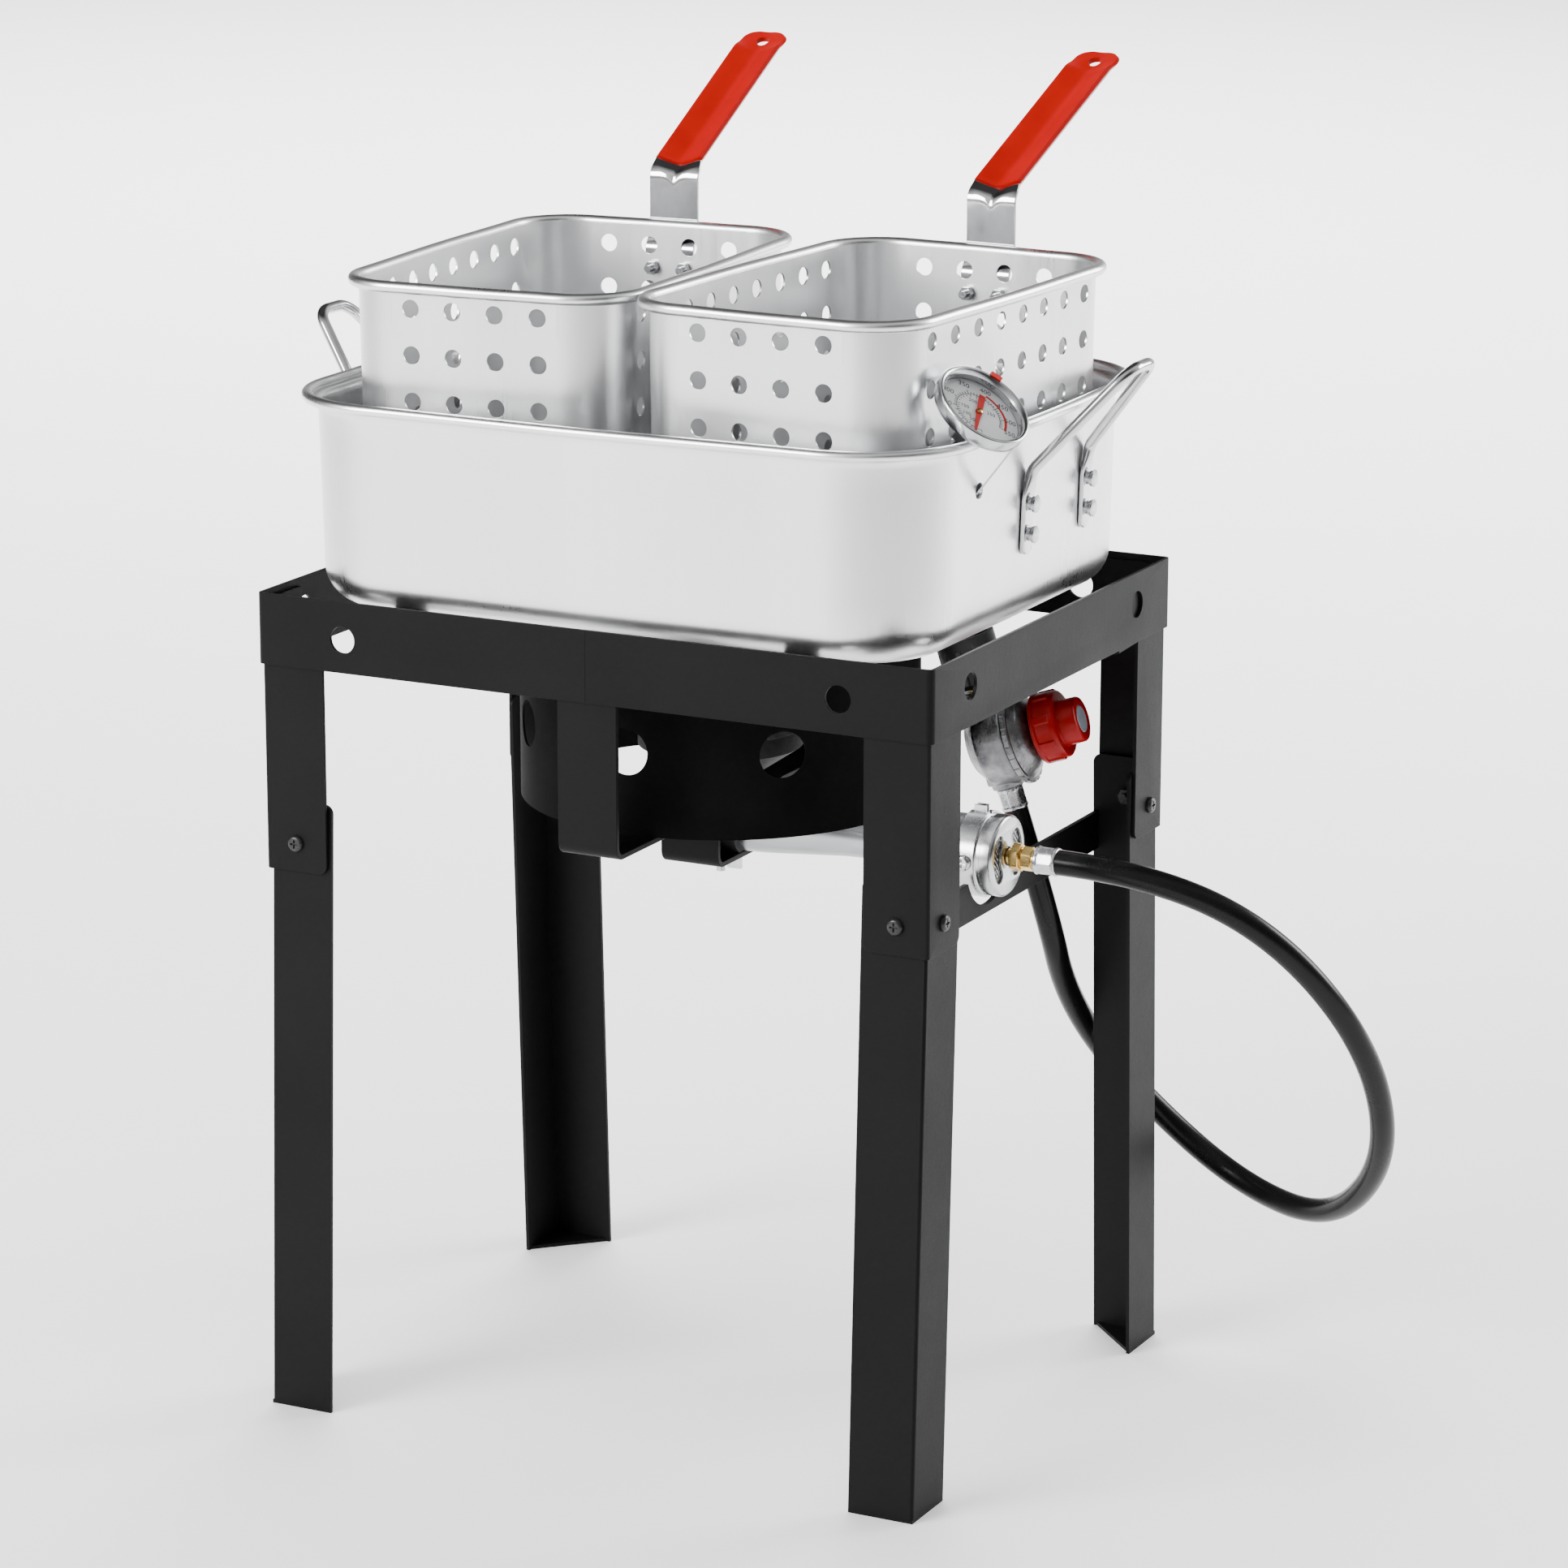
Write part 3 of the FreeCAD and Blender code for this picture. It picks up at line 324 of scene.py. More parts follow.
def bent(points, radius, steps=8, spacing=4.0):
    """Polyline with its corners rounded and its runs divided, for strips and rods."""
    pts = [Vector(p) for p in points]
    radii = radius if hasattr(radius, "__len__") else [radius] * (len(pts) - 2)
    out, last = [pts[0]], pts[0]
    for k in range(1, len(pts) - 1):
        u, w = (pts[k - 1] - pts[k]).normalized(), (pts[k + 1] - pts[k]).normalized()
        turn = pi - u.angle(w)
        t = radii[k - 1] * tan(turn / 2)
        p, q = pts[k] + u * t, pts[k] + w * t
        c = pts[k] + (u + w).normalized() * (radii[k - 1] / cos(turn / 2))
        m = max(1, int((p - last).length / spacing))
        out += [last.lerp(p, j / m) for j in range(1, m)]
        a, b = (p - c).normalized(), (q - c).normalized()
        out += [c + a.slerp(b, j / steps) * radii[k - 1] for j in range(steps + 1)]
        last = q
    m = max(1, int((pts[-1] - last).length / spacing))
    out += [last.lerp(pts[-1], j / m) for j in range(1, m + 1)]
    return out


def sweep(bm, path, section, side, m=None):
    """Closed section(k, s) carried along path; side is the first direction of the section's x."""
    s, loops, last_t = 0.0, [], None
    for k, p in enumerate(path):
        t = (path[min(k + 1, len(path) - 1)] - path[max(k - 1, 0)]).normalized()
        if last_t is not None:
            side = last_t.rotation_difference(t) @ side
            s += (p - path[k - 1]).length
        side = (side - t * side.dot(t)).normalized()
        up = t.cross(side)
        loops.append([p + side * a + up * b for a, b in section(k, s)])
        last_t = t
    skin(bm, loops, m)


def oval(a, b, n=20):
    return [(a * cos(2 * pi * k / n), b * sin(2 * pi * k / n)) for k in range(n)]


def prism(bm, outline, z0, z1, m, edge=0.0):
    """Upright prism from an outline round the local z axis, with its rims drawn in by edge."""
    def ring(f, z):
        return [(x * f, y * f, z) for x, y in outline]
    size = max(hypot(x, y) for x, y in outline)
    f = 1 - edge / size
    skin(bm, [ring(f, z0), ring(1, z0 + edge), ring(1, z1 - edge), ring(f, z1)] if edge else
         [ring(1, z0), ring(1, z1)], m)


def hexagon(across, turn):
    """Hexagon outline with its corners slightly blunted."""
    r = across / sqrt(3)
    turns = [radians(60 * k + turn + d) for k in range(6) for d in (-4, 4)]
    return [(r * 0.985 * cos(a), r * 0.985 * sin(a)) for a in turns]


def piece(name, bm, slot, body, replaces=(), angle=32.0, bevel=0.0, material=None, modifiers=()):
    """Makes the piece, in metres, gives it its finish and makes it ride on its body."""
    bmesh.ops.remove_doubles(bm, verts=bm.verts, dist=MERGE)
    bmesh.ops.recalc_face_normals(bm, faces=bm.faces)
    bmesh.ops.scale(bm, vec=(MM, MM, MM), verts=bm.verts)
    me = bpy.data.meshes.new(name)
    bm.to_mesh(me)
    bm.free()
    return from_mesh(name, me, slot, body, replaces, angle, bevel, material, modifiers)


def from_mesh(name, me, slot, body, replaces, angle, bevel, material=None, modifiers=()):
    me.shade_smooth()
    me.set_sharp_from_angle(angle=radians(angle))
    me.materials.clear()
    me.materials.append(material or MATS[slot])
    o = new_object(name, me)
    for kind, values in modifiers:
        mod = o.modifiers.new(kind.lower(), kind)
        for key, value in values.items():
            setattr(mod, key, value)
    if bevel:
        mod = o.modifiers.new("edges", "BEVEL")
        mod.width, mod.segments, mod.limit_method = bevel * MM, 2, "ANGLE"
        mod.angle_limit, mod.harden_normals = radians(30), True
    if replaces:
        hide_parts(*replaces)
    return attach(o, body)


def refine(node, name, bevel=0.35, angle=30.0, modifiers=()):
    """The CAD shape with its faces cleaned and its edges eased, as a piece that stands for the node."""
    bm = bmesh.new()
    bm.from_mesh(NODES[node].data)
    bmesh.ops.remove_doubles(bm, verts=bm.verts, dist=3e-6)
    bmesh.ops.dissolve_limit(bm, angle_limit=radians(0.3), verts=bm.verts, edges=bm.edges)
    me = bpy.data.meshes.new(name)
    bm.to_mesh(me)
    bm.free()
    return from_mesh(name, me, SLOT_OF[node], BODY_OF[node], [node], angle, bevel, None, modifiers)


# ------------------------ hose
HOSE = [(206.0, 0, 325.0), (262, 0, 325), (325, 25, 292), (362, 72, 220), (356, 120, 142), (305, 168, 84),
        (232, 207, 84), (168, 198, 136), (148, 146, 200), (155.8, 97.3, 268.0), (137.4, 94.7, 325.1)]
HOSE_D = 14.0


def make_hose():
    cu = bpy.data.curves.new("gas_hose", "CURVE")
    cu.dimensions, cu.bevel_depth, cu.bevel_resolution = "3D", HOSE_D / 2 * MM, 8
    cu.resolution_u, cu.use_fill_caps = 16, True
    sp = cu.splines.new("NURBS")
    sp.points.add(len(HOSE) - 1)
    for q, p in zip(sp.points, HOSE):
        q.co = (p[0] * MM, p[1] * MM, p[2] * MM, 1.0)
    sp.order_u, sp.use_endpoint_u = 3, True
    cu.materials.append(MATS["hose_rubber"])
    o = new_object("gas_hose", cu)
    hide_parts("hose")
    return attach(o, "stand")


hose = make_hose()

# ------------------------ stand
refine("top_band", "band_sheet", 0.45)
for corner in CORNERS:
    refine("upper_leg_" + corner, "upper_leg_sheet_" + corner, 0.4)
    refine("lower_leg_" + corner, "lower_leg_sheet_" + corner, 0.4)
for node, label in (("tube_rest", "tube_rest_bar"), ("burner_strap", "burner_strap_bar"),
                    ("pan_bars", "pan_rest_bars"), ("regulator_hanger", "regulator_bracket")):
    refine(node, label, 0.35)

BAND_Y, BAND_Z0, BAND_Z1 = 155.75, 424.5, 464.0


def band_weld():
    """Butt joint of the band at the middle of its front: a thin ground weld that stops just short of each
    edge.
    """
    bm = bmesh.new()
    loops = []
    for k in range(41):
        z = BAND_Z0 + 0.8 + (BAND_Z1 - BAND_Z0 - 1.6) * k / 40
        w = 0.55 + 0.12 * sin(k * 2.3)
        h = 0.16 + 0.06 * sin(k * 1.7)
        loops.append([(-w, -BAND_Y + 0.1, z), (-w * 0.5, -BAND_Y - h * 0.8, z), (0, -BAND_Y - h, z),
                      (w * 0.5, -BAND_Y - h * 0.8, z), (w, -BAND_Y + 0.1, z)])
    skin(bm, loops)
    piece("band_weld", bm, "black_steel", "stand", angle=60)


band_weld()

# ------------------------ burner and shutter
AXIS_Z = 325.0
BURN = place((0, 0, AXIS_Z), Y, Z, X)


def plate(name, outlines, thickness, bevel, m):
    """Flat plate with holes as a bmesh: outlines in the local x, y plane, front face at z = 0."""
    cu = bpy.data.curves.new(name, "CURVE")
    cu.dimensions, cu.fill_mode = "2D", "BOTH"
    cu.extrude, cu.bevel_depth, cu.bevel_resolution = thickness / 2 - bevel, bevel, 1
    cu.offset = -bevel
    for outline in outlines:
        sp = cu.splines.new("POLY")
        sp.points.add(len(outline) - 1)
        for q, p in zip(sp.points, outline):
            q.co = (p[0], p[1], 0, 1)
        sp.use_cyclic_u = True
    o = new_object(name, cu)
    me = as_mesh(o)
    bpy.data.objects.remove(o)
    bm = bmesh.new()
    bm.from_mesh(me)
    bmesh.ops.translate(bm, vec=(0, 0, -thickness / 2), verts=bm.verts)
    bmesh.ops.transform(bm, matrix=m, verts=bm.verts)
    return bm


def kidney(side):
    """Window in the shutter face: a ring segment with rounded ends."""
    ri, ro, a = 9.4, 18.4, 40.0
    mid, half = (ri + ro) / 2, (ro - ri) / 2
    x, y = mid * cos(radians(a)), mid * sin(radians(a))
    pts = arc(0, 0, ro, -a, a, 20) + arc(x, y, half, a, a + 180, 8)[1:-1]
    pts += arc(0, 0, ri, a, -a, 16) + arc(x, -y, half, -a - 180, -a, 8)[1:-1]
    return [(side * x, side * y) for x, y in pts]


def air_shutter():
    bm = plate("shutter_face", [circle(21.3, 0, 64), circle(5.3, 0, 32), kidney(1), kidney(-1)], 1.4, 0.25,
               place((176, 0, AXIS_Z), Y, Z, X))
    outer = [(154.0, 21.05), (154.0, 22.3), (154.3, 22.6), (165.9, 22.6), (166.3, 22.15), (168.2, 22.15),
             (168.6, 22.6), (173.6, 22.6), (174.9, 22.3), (175.7, 21.7), (176.0, 21.0)]
    lathe(bm, outer + [(174.6, 20.9), (174.0, 21.05)], BURN, 96, closed=True)
    piece("shutter_cap", bm, "shutter_metal", "shutter", ["air_shutter"], angle=40)


def mesh_wires():
    """Two layers of thin crossed wires behind the windows."""
    bm = bmesh.new()
    m = place((174.0, 0, AXIS_Z), Y, Z, X)
    reach, wire, pitch, wave = 20.4, 0.28, 2.3, 0.22
    for lift, turn in ((-wave, 45), (wave, -45)):
        c, s = cos(radians(turn)), sin(radians(turn))
        for k in range(-8, 9):
            d = k * pitch
            half = sqrt(reach * reach - d * d)
            steps = max(4, int(half))
            ts = [-half + 2 * half * j / steps for j in range(steps + 1)]
            path = [Vector((d * -s + t * c, d * c + t * s, lift * cos(pi * (t / pitch + k))))
                    for t in ts]
            sweep(bm, path, lambda *at: oval(wire, wire, 6), Z, m)
    lathe(bm, [(-0.35, 19.7), (0.35, 19.7), (0.35, 20.6), (-0.35, 20.6)], m, 64, closed=True)
    piece("shutter_screen", bm, "shutter_metal", "shutter", ["shutter_mesh"], angle=60)


def venturi():
    bm = bmesh.new()
    outer = [(17.0, 16.0), (28, 15.8), (40.0, 15.0), (62, 13.1), (80, 11.7), (90, 11.5), (105, 12.6),
             (120.0, 14.5), (133, 16.8), (138.0, 17.6), (138.8, 18.2), (139.1, 20.2), (139.6, 20.5),
             (151.2, 20.5), (151.6, 20.2), (152.2, 20.2), (152.6, 20.5), (165.6, 20.5), (166.0, 20.1)]
    inner = [(166.0, 19.1), (165.6, 18.8), (140.5, 18.8), (120.0, 12.8), (85.0, 9.8), (40.0, 12.5),
              (17.0, 12.5)]
    lathe(bm, outer + inner, BURN, 96, closed=True)
    piece("burner_tube", bm, "bright_tube", "stand", ["venturi_tube"], angle=28)
    bm = bmesh.new()
    prism(bm, [(-18.7, -3), (18.7, -3), (18.7, 3), (-18.7, 3)], 158, 165, BURN, 0.4)
    lathe(bm, [(156, 4.4), (156, 7.2), (156.4, 7.5), (165.6, 7.5), (166, 7.2), (166, 4.4)], BURN, 48,
               closed=True)
    piece("tube_mouth_web", bm, "bright_tube", "stand", angle=30)


def ferrule(name, m, node):
    """Hose ferrule along the local z axis from 0 to 13, crimped into eight flats."""
    bm = bmesh.new()

    def crimped(k):
        t = (k * 8) % 1.0
        return min(1.0, 0.935 / cos(radians(45 * (t - 0.5))))
    loops = [circle(r, z, 96, crimped if flat else None) for z, r, flat in
             ((0.0, 2.2, 0), (0.0, 7.0, 0), (0.25, 7.5, 0), (0.8, 7.8, 0), (1.9, 7.8, 0), (2.5, 7.75, 1),
              (3.2, 7.7, 1), (10.2, 7.7, 1), (10.9, 7.75, 1), (11.4, 7.8, 0), (12.3, 7.8, 0),
              (12.8, 7.6, 0), (13.0, 7.2, 0), (13.0, 2.2, 0))]
    skin(bm, loops, m, closed=True)
    return piece(name, bm, "bright_steel", "stand", [node], angle=24)


def brass_fittings():
    bm = bmesh.new()
    lathe(bm, [(158, 1.6), (158, 3.8), (158.5, 4.2), (179.2, 4.2), (179.2, 1.6)], BURN, 40, closed=True)
    prism(bm, hexagon(14.0, 90), 179.0, 184.5, BURN, 0.5)
    lathe(bm, [(184.3, 1.6), (184.3, 5.4), (185.0, 5.4), (185.45, 5.0), (185.45, 1.6)], BURN, 40, closed=True)
    piece("brass_spud", bm, "brass", "stand", ["orifice_fitting"], angle=28)
    bm = bmesh.new()
    prism(bm, hexagon(12.0, 90), 185.5, 191.6, BURN, 0.45)
    lathe(bm, [(191.4, 2.0), (191.4, 5.6), (192.4, 5.6), (193.0, 5.2), (193.0, 2.0)], BURN, 40, closed=True)
    piece("brass_coupling", bm, "brass", "stand", ["hose_coupling"], angle=28)


air_shutter()
mesh_wires()
venturi()
brass_fittings()
refine("shutter_clamp", "shutter_band", 0.2)
near_ferrule = ferrule("burner_ferrule_crimped", place((193, 0, AXIS_Z), Y, Z, X), "burner_ferrule")

# ------------------------ regulator
TILT, TURN = radians(18.0), radians(8.0)
REG = Vector((125.0, 93.0, 363.6))
RN = Vector((cos(TILT) * cos(TURN), cos(TILT) * sin(TURN), sin(TILT)))
RM = Vector((sin(TILT) * cos(TURN), sin(TILT) * sin(TURN), -cos(TILT)))
REG_M = place(REG, RN.cross(RM), -RM, RN)
far_ferrule = ferrule("regulator_ferrule_crimped", place(REG + RM * 27.5, RN, RM.cross(RN), RM),
                      "regulator_ferrule")
refine("regulator_body", "regulator_casting", 0.0, 180,
       (("REMESH", {"mode": "VOXEL", "voxel_size": 0.0006, "use_smooth_shade": True}),
        ("SMOOTH", {"factor": 0.6, "iterations": 8})))


def bonnet():
    """Pressed cover of the regulator: a rim crimped over in 24 tabs and a stepped dome."""
    bm = bmesh.new()
    lathe(bm, [(13.6, 24.0), (13.6, 27.2), (14.2, 27.9), (16.6, 27.9), (17.4, 27.2), (17.6, 25.6),
               (18.2, 24.9), (20.4, 21.8), (21.0, 21.4), (21.6, 20.9), (24.6, 16.9), (25.4, 15.4),
               (26.2, 13.9), (27.0, 13.6), (27.0, 11.2), (22.6, 11.2), (22.0, 12.5), (14.2, 22.2)], REG_M, 96,
               closed=True)
    for k in range(24):
        a = radians(15 * k + 7.5)
        c = Vector((cos(a), sin(a), 0))
        t = Vector((-sin(a), cos(a), 0))
        m = REG_M @ place(c * 25.9 + Z * 15.9, c, t, Z)
        prism(bm, [(-1.8, -2.4), (1.4, -2.6), (1.4, 2.6), (-1.8, 2.4)], -0.4, 1.3, m, 0.35)
        m = REG_M @ place(c * 27.6 + Z * 15.6, t, Z, c)
        prism(bm, [(-2.1, -1.6), (2.1, -1.6), (2.1, 1.6), (-2.1, 1.6)], -0.3, 0.7, m, 0.3)
    piece("regulator_cover", bm, "die_cast", "stand", ["regulator_bonnet"], angle=30)


def knob():
    """Red knob: flange ring, drum with eight raised bars, and a smaller collar."""
    bm = bmesh.new()

    def barred(k):
        t = (k * 8) % 1.0
        return 1.0 + 0.055 * max(0.0, min(1.0, (0.17 - abs(t - 0.5)) * 22))
    n = 192
    outer = ((28.0, 17.0, 0), (28.0, 19.9, 0), (28.4, 20.3, 0), (30.0, 20.3, 0), (30.4, 19.9, 0),
             (30.8, 19.3, 1), (38.6, 19.3, 1), (39.4, 19.2, 1), (39.9, 19.1, 0), (41.2, 18.9, 0),
             (41.9, 18.1, 0), (42.0, 16.8, 0), (42.0, 13.6, 0), (42.4, 13.1, 0), (51.6, 12.9, 0),
             (52.6, 12.4, 0), (53.0, 11.5, 0), (53.0, 8.6, 0), (52.8, 8.1, 0), (51.9, 8.0, 0), (51.9, 4.1, 0),
             (30.2, 4.1, 0), (30.2, 15.4, 0), (28.0, 15.6, 0))
    skin(bm, [circle(r, z, n, barred if bar else None) for z, r, bar in outer], REG_M, closed=True)
    piece("knob_drum", bm, "knob_red", "knob", ["regulator_knob"], angle=30)
    bm = bmesh.new()
    lathe(bm, [(52.0, 0), (52.0, 7.8), (52.5, 7.8), (52.75, 7.4), (52.8, 6.6), (52.55, 6.2), (52.6, 0)],
               REG_M, 48)
    piece("knob_centre_cap", bm, "cap_grey", "knob", ["knob_cap"], angle=30)


bonnet()
knob()
refine("inlet_nut", "cylinder_nut_grip", 0.5, 35)

# ------------------------ pan
PAN_Z0, PAN_Z1 = 456.0, 569.0
PAN_TOP, PAN_BOT = (189.5, 150.0, 56.0), (187.0, 147.5, 54.0)
PAN_BOW = (1.6, 3.2)
CLIP_HOLE, CLIP_HOLE_R = (190.0, -71.0, 541.0), 4.5
HANDLE_Y, HANDLE_HALF = {1: 25.0, -1: -12.0}, 39.0   # middle of each rod handle, half its foot spacing
RIVET_ROWS = (508.0, 524.5)


def pan_loop(d, z):
    """Loop of the pan at height z, d outside its outer wall."""
    t = max(0.0, min(1.0, (z - PAN_Z0) / (PAN_Z1 - PAN_Z0)))
    hx, hy, r = (b + (a - b) * t + d for a, b in zip(PAN_TOP, PAN_BOT))
    bow = tuple(v * (0.35 + 0.65 * t) for v in PAN_BOW)
    return rounded(hx, hy, max(r, 4.0), z, bow, (48, 36, 20))


def pan_x(y, z):
    """Outer face of the right wall at y, z."""
    t = (z - PAN_Z0) / (PAN_Z1 - PAN_Z0)
    half = PAN_BOT[1] - PAN_BOT[2]
    return (PAN_BOT[0] + (PAN_TOP[0] - PAN_BOT[0]) * t
            + PAN_BOW[0] * (0.35 + 0.65 * t) * (1 + cos(pi * y / half)) / 2)


def cut(bm, cutter):
    """Boolean difference of two bmeshes."""
    objs = []
    for b in (bm, cutter):
        me = bpy.data.meshes.new("cut")
        b.to_mesh(me)
        b.free()
        o = new_object("cut", me)
        objs.append(o)
    mod = objs[0].modifiers.new("cut", "BOOLEAN")
    mod.operation, mod.object, mod.solver = "DIFFERENCE", objs[1], "EXACT"
    me = as_mesh(objs[0])
    for o in objs:
        bpy.data.objects.remove(o)
    out = bmesh.new()
    out.from_mesh(me)
    return out


def make_pan():
    bm = bmesh.new()
    wall = 1.5
    path = [(-140, PAN_Z0 + wall), (-80, PAN_Z0 + wall)]
    path += [(-wall - 18.5 * (1 - cos(a)), PAN_Z0 + wall + 18.5 * (1 - sin(a)))
             for a in [pi / 2 * (1 - k / 8) for k in range(9)]]
    path += [(-wall, z) for z in (490, 510, 530, 550, 562)]
    path += [(-1.4, 565.4), (-0.9, 567.2), (0.2, 568.5), (1.6, 569.0), (2.9, 569.1)]
    path += arc(6.0, 570.0, 3.0, 196, -128, 16)
    path += [(3.6, 567.5), (2.2, 567.2), (0.9, 566.4), (0.2, 564.8), (0.0, 562)]
    path += [(0.0, z) for z in (550, 530, 510, 490)]
    path += [(-20 * (1 - cos(a)), PAN_Z0 + 20 * (1 - sin(a)))
             for a in [pi / 2 * k / 8 for k in range(9)]]
    path += [(-80, PAN_Z0), (-140, PAN_Z0)]
    skin(bm, [pan_loop(d, z) for d, z in path])
    cutter = bmesh.new()
    lathe(cutter, [(-20, CLIP_HOLE_R), (10, CLIP_HOLE_R)], place(CLIP_HOLE, Y, Z, X), 32)
    for b in (bm, cutter):
        bmesh.ops.recalc_face_normals(b, faces=b.faces)
    piece("pan_body", cut(bm, cutter), "pan_aluminium", "pan", ["pan"], angle=50)


def rivets():
    bm = bmesh.new()
    for side, yc in HANDLE_Y.items():
        for y in (yc - HANDLE_HALF, yc + HANDLE_HALF):
            for z in RIVET_ROWS:
                m = place((side * pan_x(y, z), y, z), Y * side, Z, X * side)
                lathe(bm, [(-3.0, 0), (-3.0, 3.6), (-2.6, 4.4), (-1.6, 4.6), (-1.4, 2.5), (2.9, 2.5),
                           (2.9, 3.9), (5.0, 3.7), (5.2, 4.6), (5.6, 4.8), (6.8, 4.75), (7.25, 4.3),
                           (7.5, 3.2), (7.5, 0)], m, 40)
    piece("rivet_heads", bm, "bright_steel", "pan", ["pan_rivets"], angle=30)


def rod_handle(side, name, node):
    """Bent rod handle with its two ends hammered flat."""
    def wall(y, z, d):
        return (side * (pan_x(y, z) + d), y, z)
    yc = HANDLE_Y[side]
    y0, y1 = yc - HANDLE_HALF, yc + HANDLE_HALF
    top = side * 239.0
    pts = [wall(y0, 497, 1.5), wall(y0, 527, 1.6), wall(y0, 543, 3.6), (top, yc - 15, 596),
           (top, yc + 15, 596), wall(y1, 543, 3.6), wall(y1, 527, 1.6), wall(y1, 497, 1.5)]
    path = bent(pts, [14.0, 9.0, 13.0, 13.0, 9.0, 14.0], 10, 2.0)
    total = sum((b - a).length for a, b in zip(path, path[1:]))

    def section(k, s):
        e = min(s, total - s)
        flat = max(0.0, min(1.0, (46.0 - e) / 14.0))
        flat = flat * flat * (3 - 2 * flat)
        a, b = 3.2 + (6.0 - 3.2) * flat, 3.2 + (1.5 - 3.2) * flat
        tip = min(1.0, (e + 0.3) / 4.0)
        a *= sqrt(max(0.05, 1 - (1 - tip) ** 2))
        return [(a * abs(cos(t)) ** (1 - 0.45 * flat) * (1 if cos(t) > 0 else -1),
                 b * abs(sin(t)) ** (1 - 0.45 * flat) * (1 if sin(t) > 0 else -1))
                for t in [2 * pi * j / 24 for j in range(24)]]
    bm = bmesh.new()
    sweep(bm, path, section, Y.copy())
    piece(name, bm, "chrome_rod", "pan", [node], angle=40)


make_pan()
rivets()
rod_handle(1, "rod_handle_right", "pan_handle_right")
rod_handle(-1, "rod_handle_left", "pan_handle_left")

# ------------------------ baskets
B_Z0, B_Z1, B_T, PITCH, HOLE_R = 458.0, 633.0, 1.2, 25.0, 5.0
B_TOP, B_BOT = (81.0, 125.5, 32.0), (78.0, 122.5, 29.0)
ROW_Z, ROW_H, N_ROWS = 621.5, 25.2, 6
B_BOW = (1.5, 1.0)
BASKETS = {"left": (-90.0, 3.5), "right": (94.5, -2.8)}
B_LIP = B_Z1 - 2.0                     # top of the uppermost row of mesh cells
RIM, BEAD = (83.5, 128.0, 34.5), 3.3


def basket_m(side):
    x, turn = BASKETS[side]
    return Matrix.Translation((x, 0, 0)) @ Matrix.Rotation(radians(turn), 4, "Z")


def wall_point(q, u, z):
    """Point of the basket's outer wall: side q, distance u along it from its middle, height z."""
    t = max(0.0, min(1.0, (z - B_Z0) / (B_Z1 - B_Z0)))
    hx, hy, r = (b + (a - b) * t for a, b in zip(B_TOP, B_BOT))
    reach, half, out = (hx, hy - r, B_BOW[0]) if q % 2 == 0 else (hy, hx - r, B_BOW[1])
    out *= 0.3 + 0.7 * t
    if abs(u) <= half:
        p = Vector((reach + out * (1 + cos(pi * u / half)) / 2, u))
    else:
        a = (abs(u) - half) / r
        p = Vector((reach - r + r * cos(a), half + r * sin(a)))
        p.y *= 1 if u > 0 else -1
    p = p @ Matrix.Rotation(-pi / 2 * q, 2)
    return Vector((p.x, p.y, z))


SIDE_CELLS = (8, 4)                    # holes along a long side, along a short side
FLATS = (B_TOP[1] - B_TOP[2], B_TOP[0] - B_TOP[2])   # half of the flat part of a long side, a short side


def cell_span(q, c):
    """Centre, start and end of cell c along side q; the outer cells stop where the corners start."""
    half = SIDE_CELLS[q % 2] * PITCH / 2
    mid = -half + PITCH * (c + 0.5)
    return mid, max(-FLATS[q % 2], mid - PITCH / 2), min(FLATS[q % 2], mid + PITCH / 2)


def columns(q):
    """Places of the mesh columns along side q, in mm from its middle."""
    out = []
    for c in range(SIDE_CELLS[q % 2]):
        mid, lo, hi = cell_span(q, c)
        out += [mid + (a * (hi - mid) if a > 0 else -a * (lo - mid)) for a in [-1 + k / 3 for k in range(6)]]
    return out + [FLATS[q % 2]]


def border(n=6):
    """Points round the border of a unit cell."""
    steps = [-1 + 2 * k / n for k in range(n)]
    return ([(t, -1) for t in steps] + [(1, t) for t in steps]
            + [(-t, 1) for t in steps] + [(-1, -t) for t in steps])


def cell(bm, at, cu, cv, lu, lv, hu, hv, radius):
    """Patch with a round hole: at(u, v) gives the surface, lu..hu by lv..hv is the cell."""
    ring = []
    for a, b in border():
        u = cu + (a * (hu - cu) if a > 0 else -a * (lu - cu))
        v = cv + (b * (hv - cv) if b > 0 else -b * (lv - cv))
        ang = atan2(b, a)
        hole = (cu + radius * cos(ang), cv + radius * sin(ang))
        rim = (cu + radius * 1.22 * cos(ang), cv + radius * 1.22 * sin(ang))
        ring.append([at(u, v), at(*rim), at(*hole)])
    n = len(ring)
    rows = [[bm.verts.new(p) for p in col] for col in ring]
    for k in range(n):
        for j in range(2):
            bm.faces.new((rows[k][j], rows[(k + 1) % n][j], rows[(k + 1) % n][j + 1], rows[k][j + 1]))


def grid(bm, at, us, vs):
    rows = [[bm.verts.new(at(u, v)) for u in us] for v in vs]
    for a, b in zip(rows, rows[1:]):
        for j in range(len(us) - 1):
            bm.faces.new((a[j], a[j + 1], b[j + 1], b[j]))


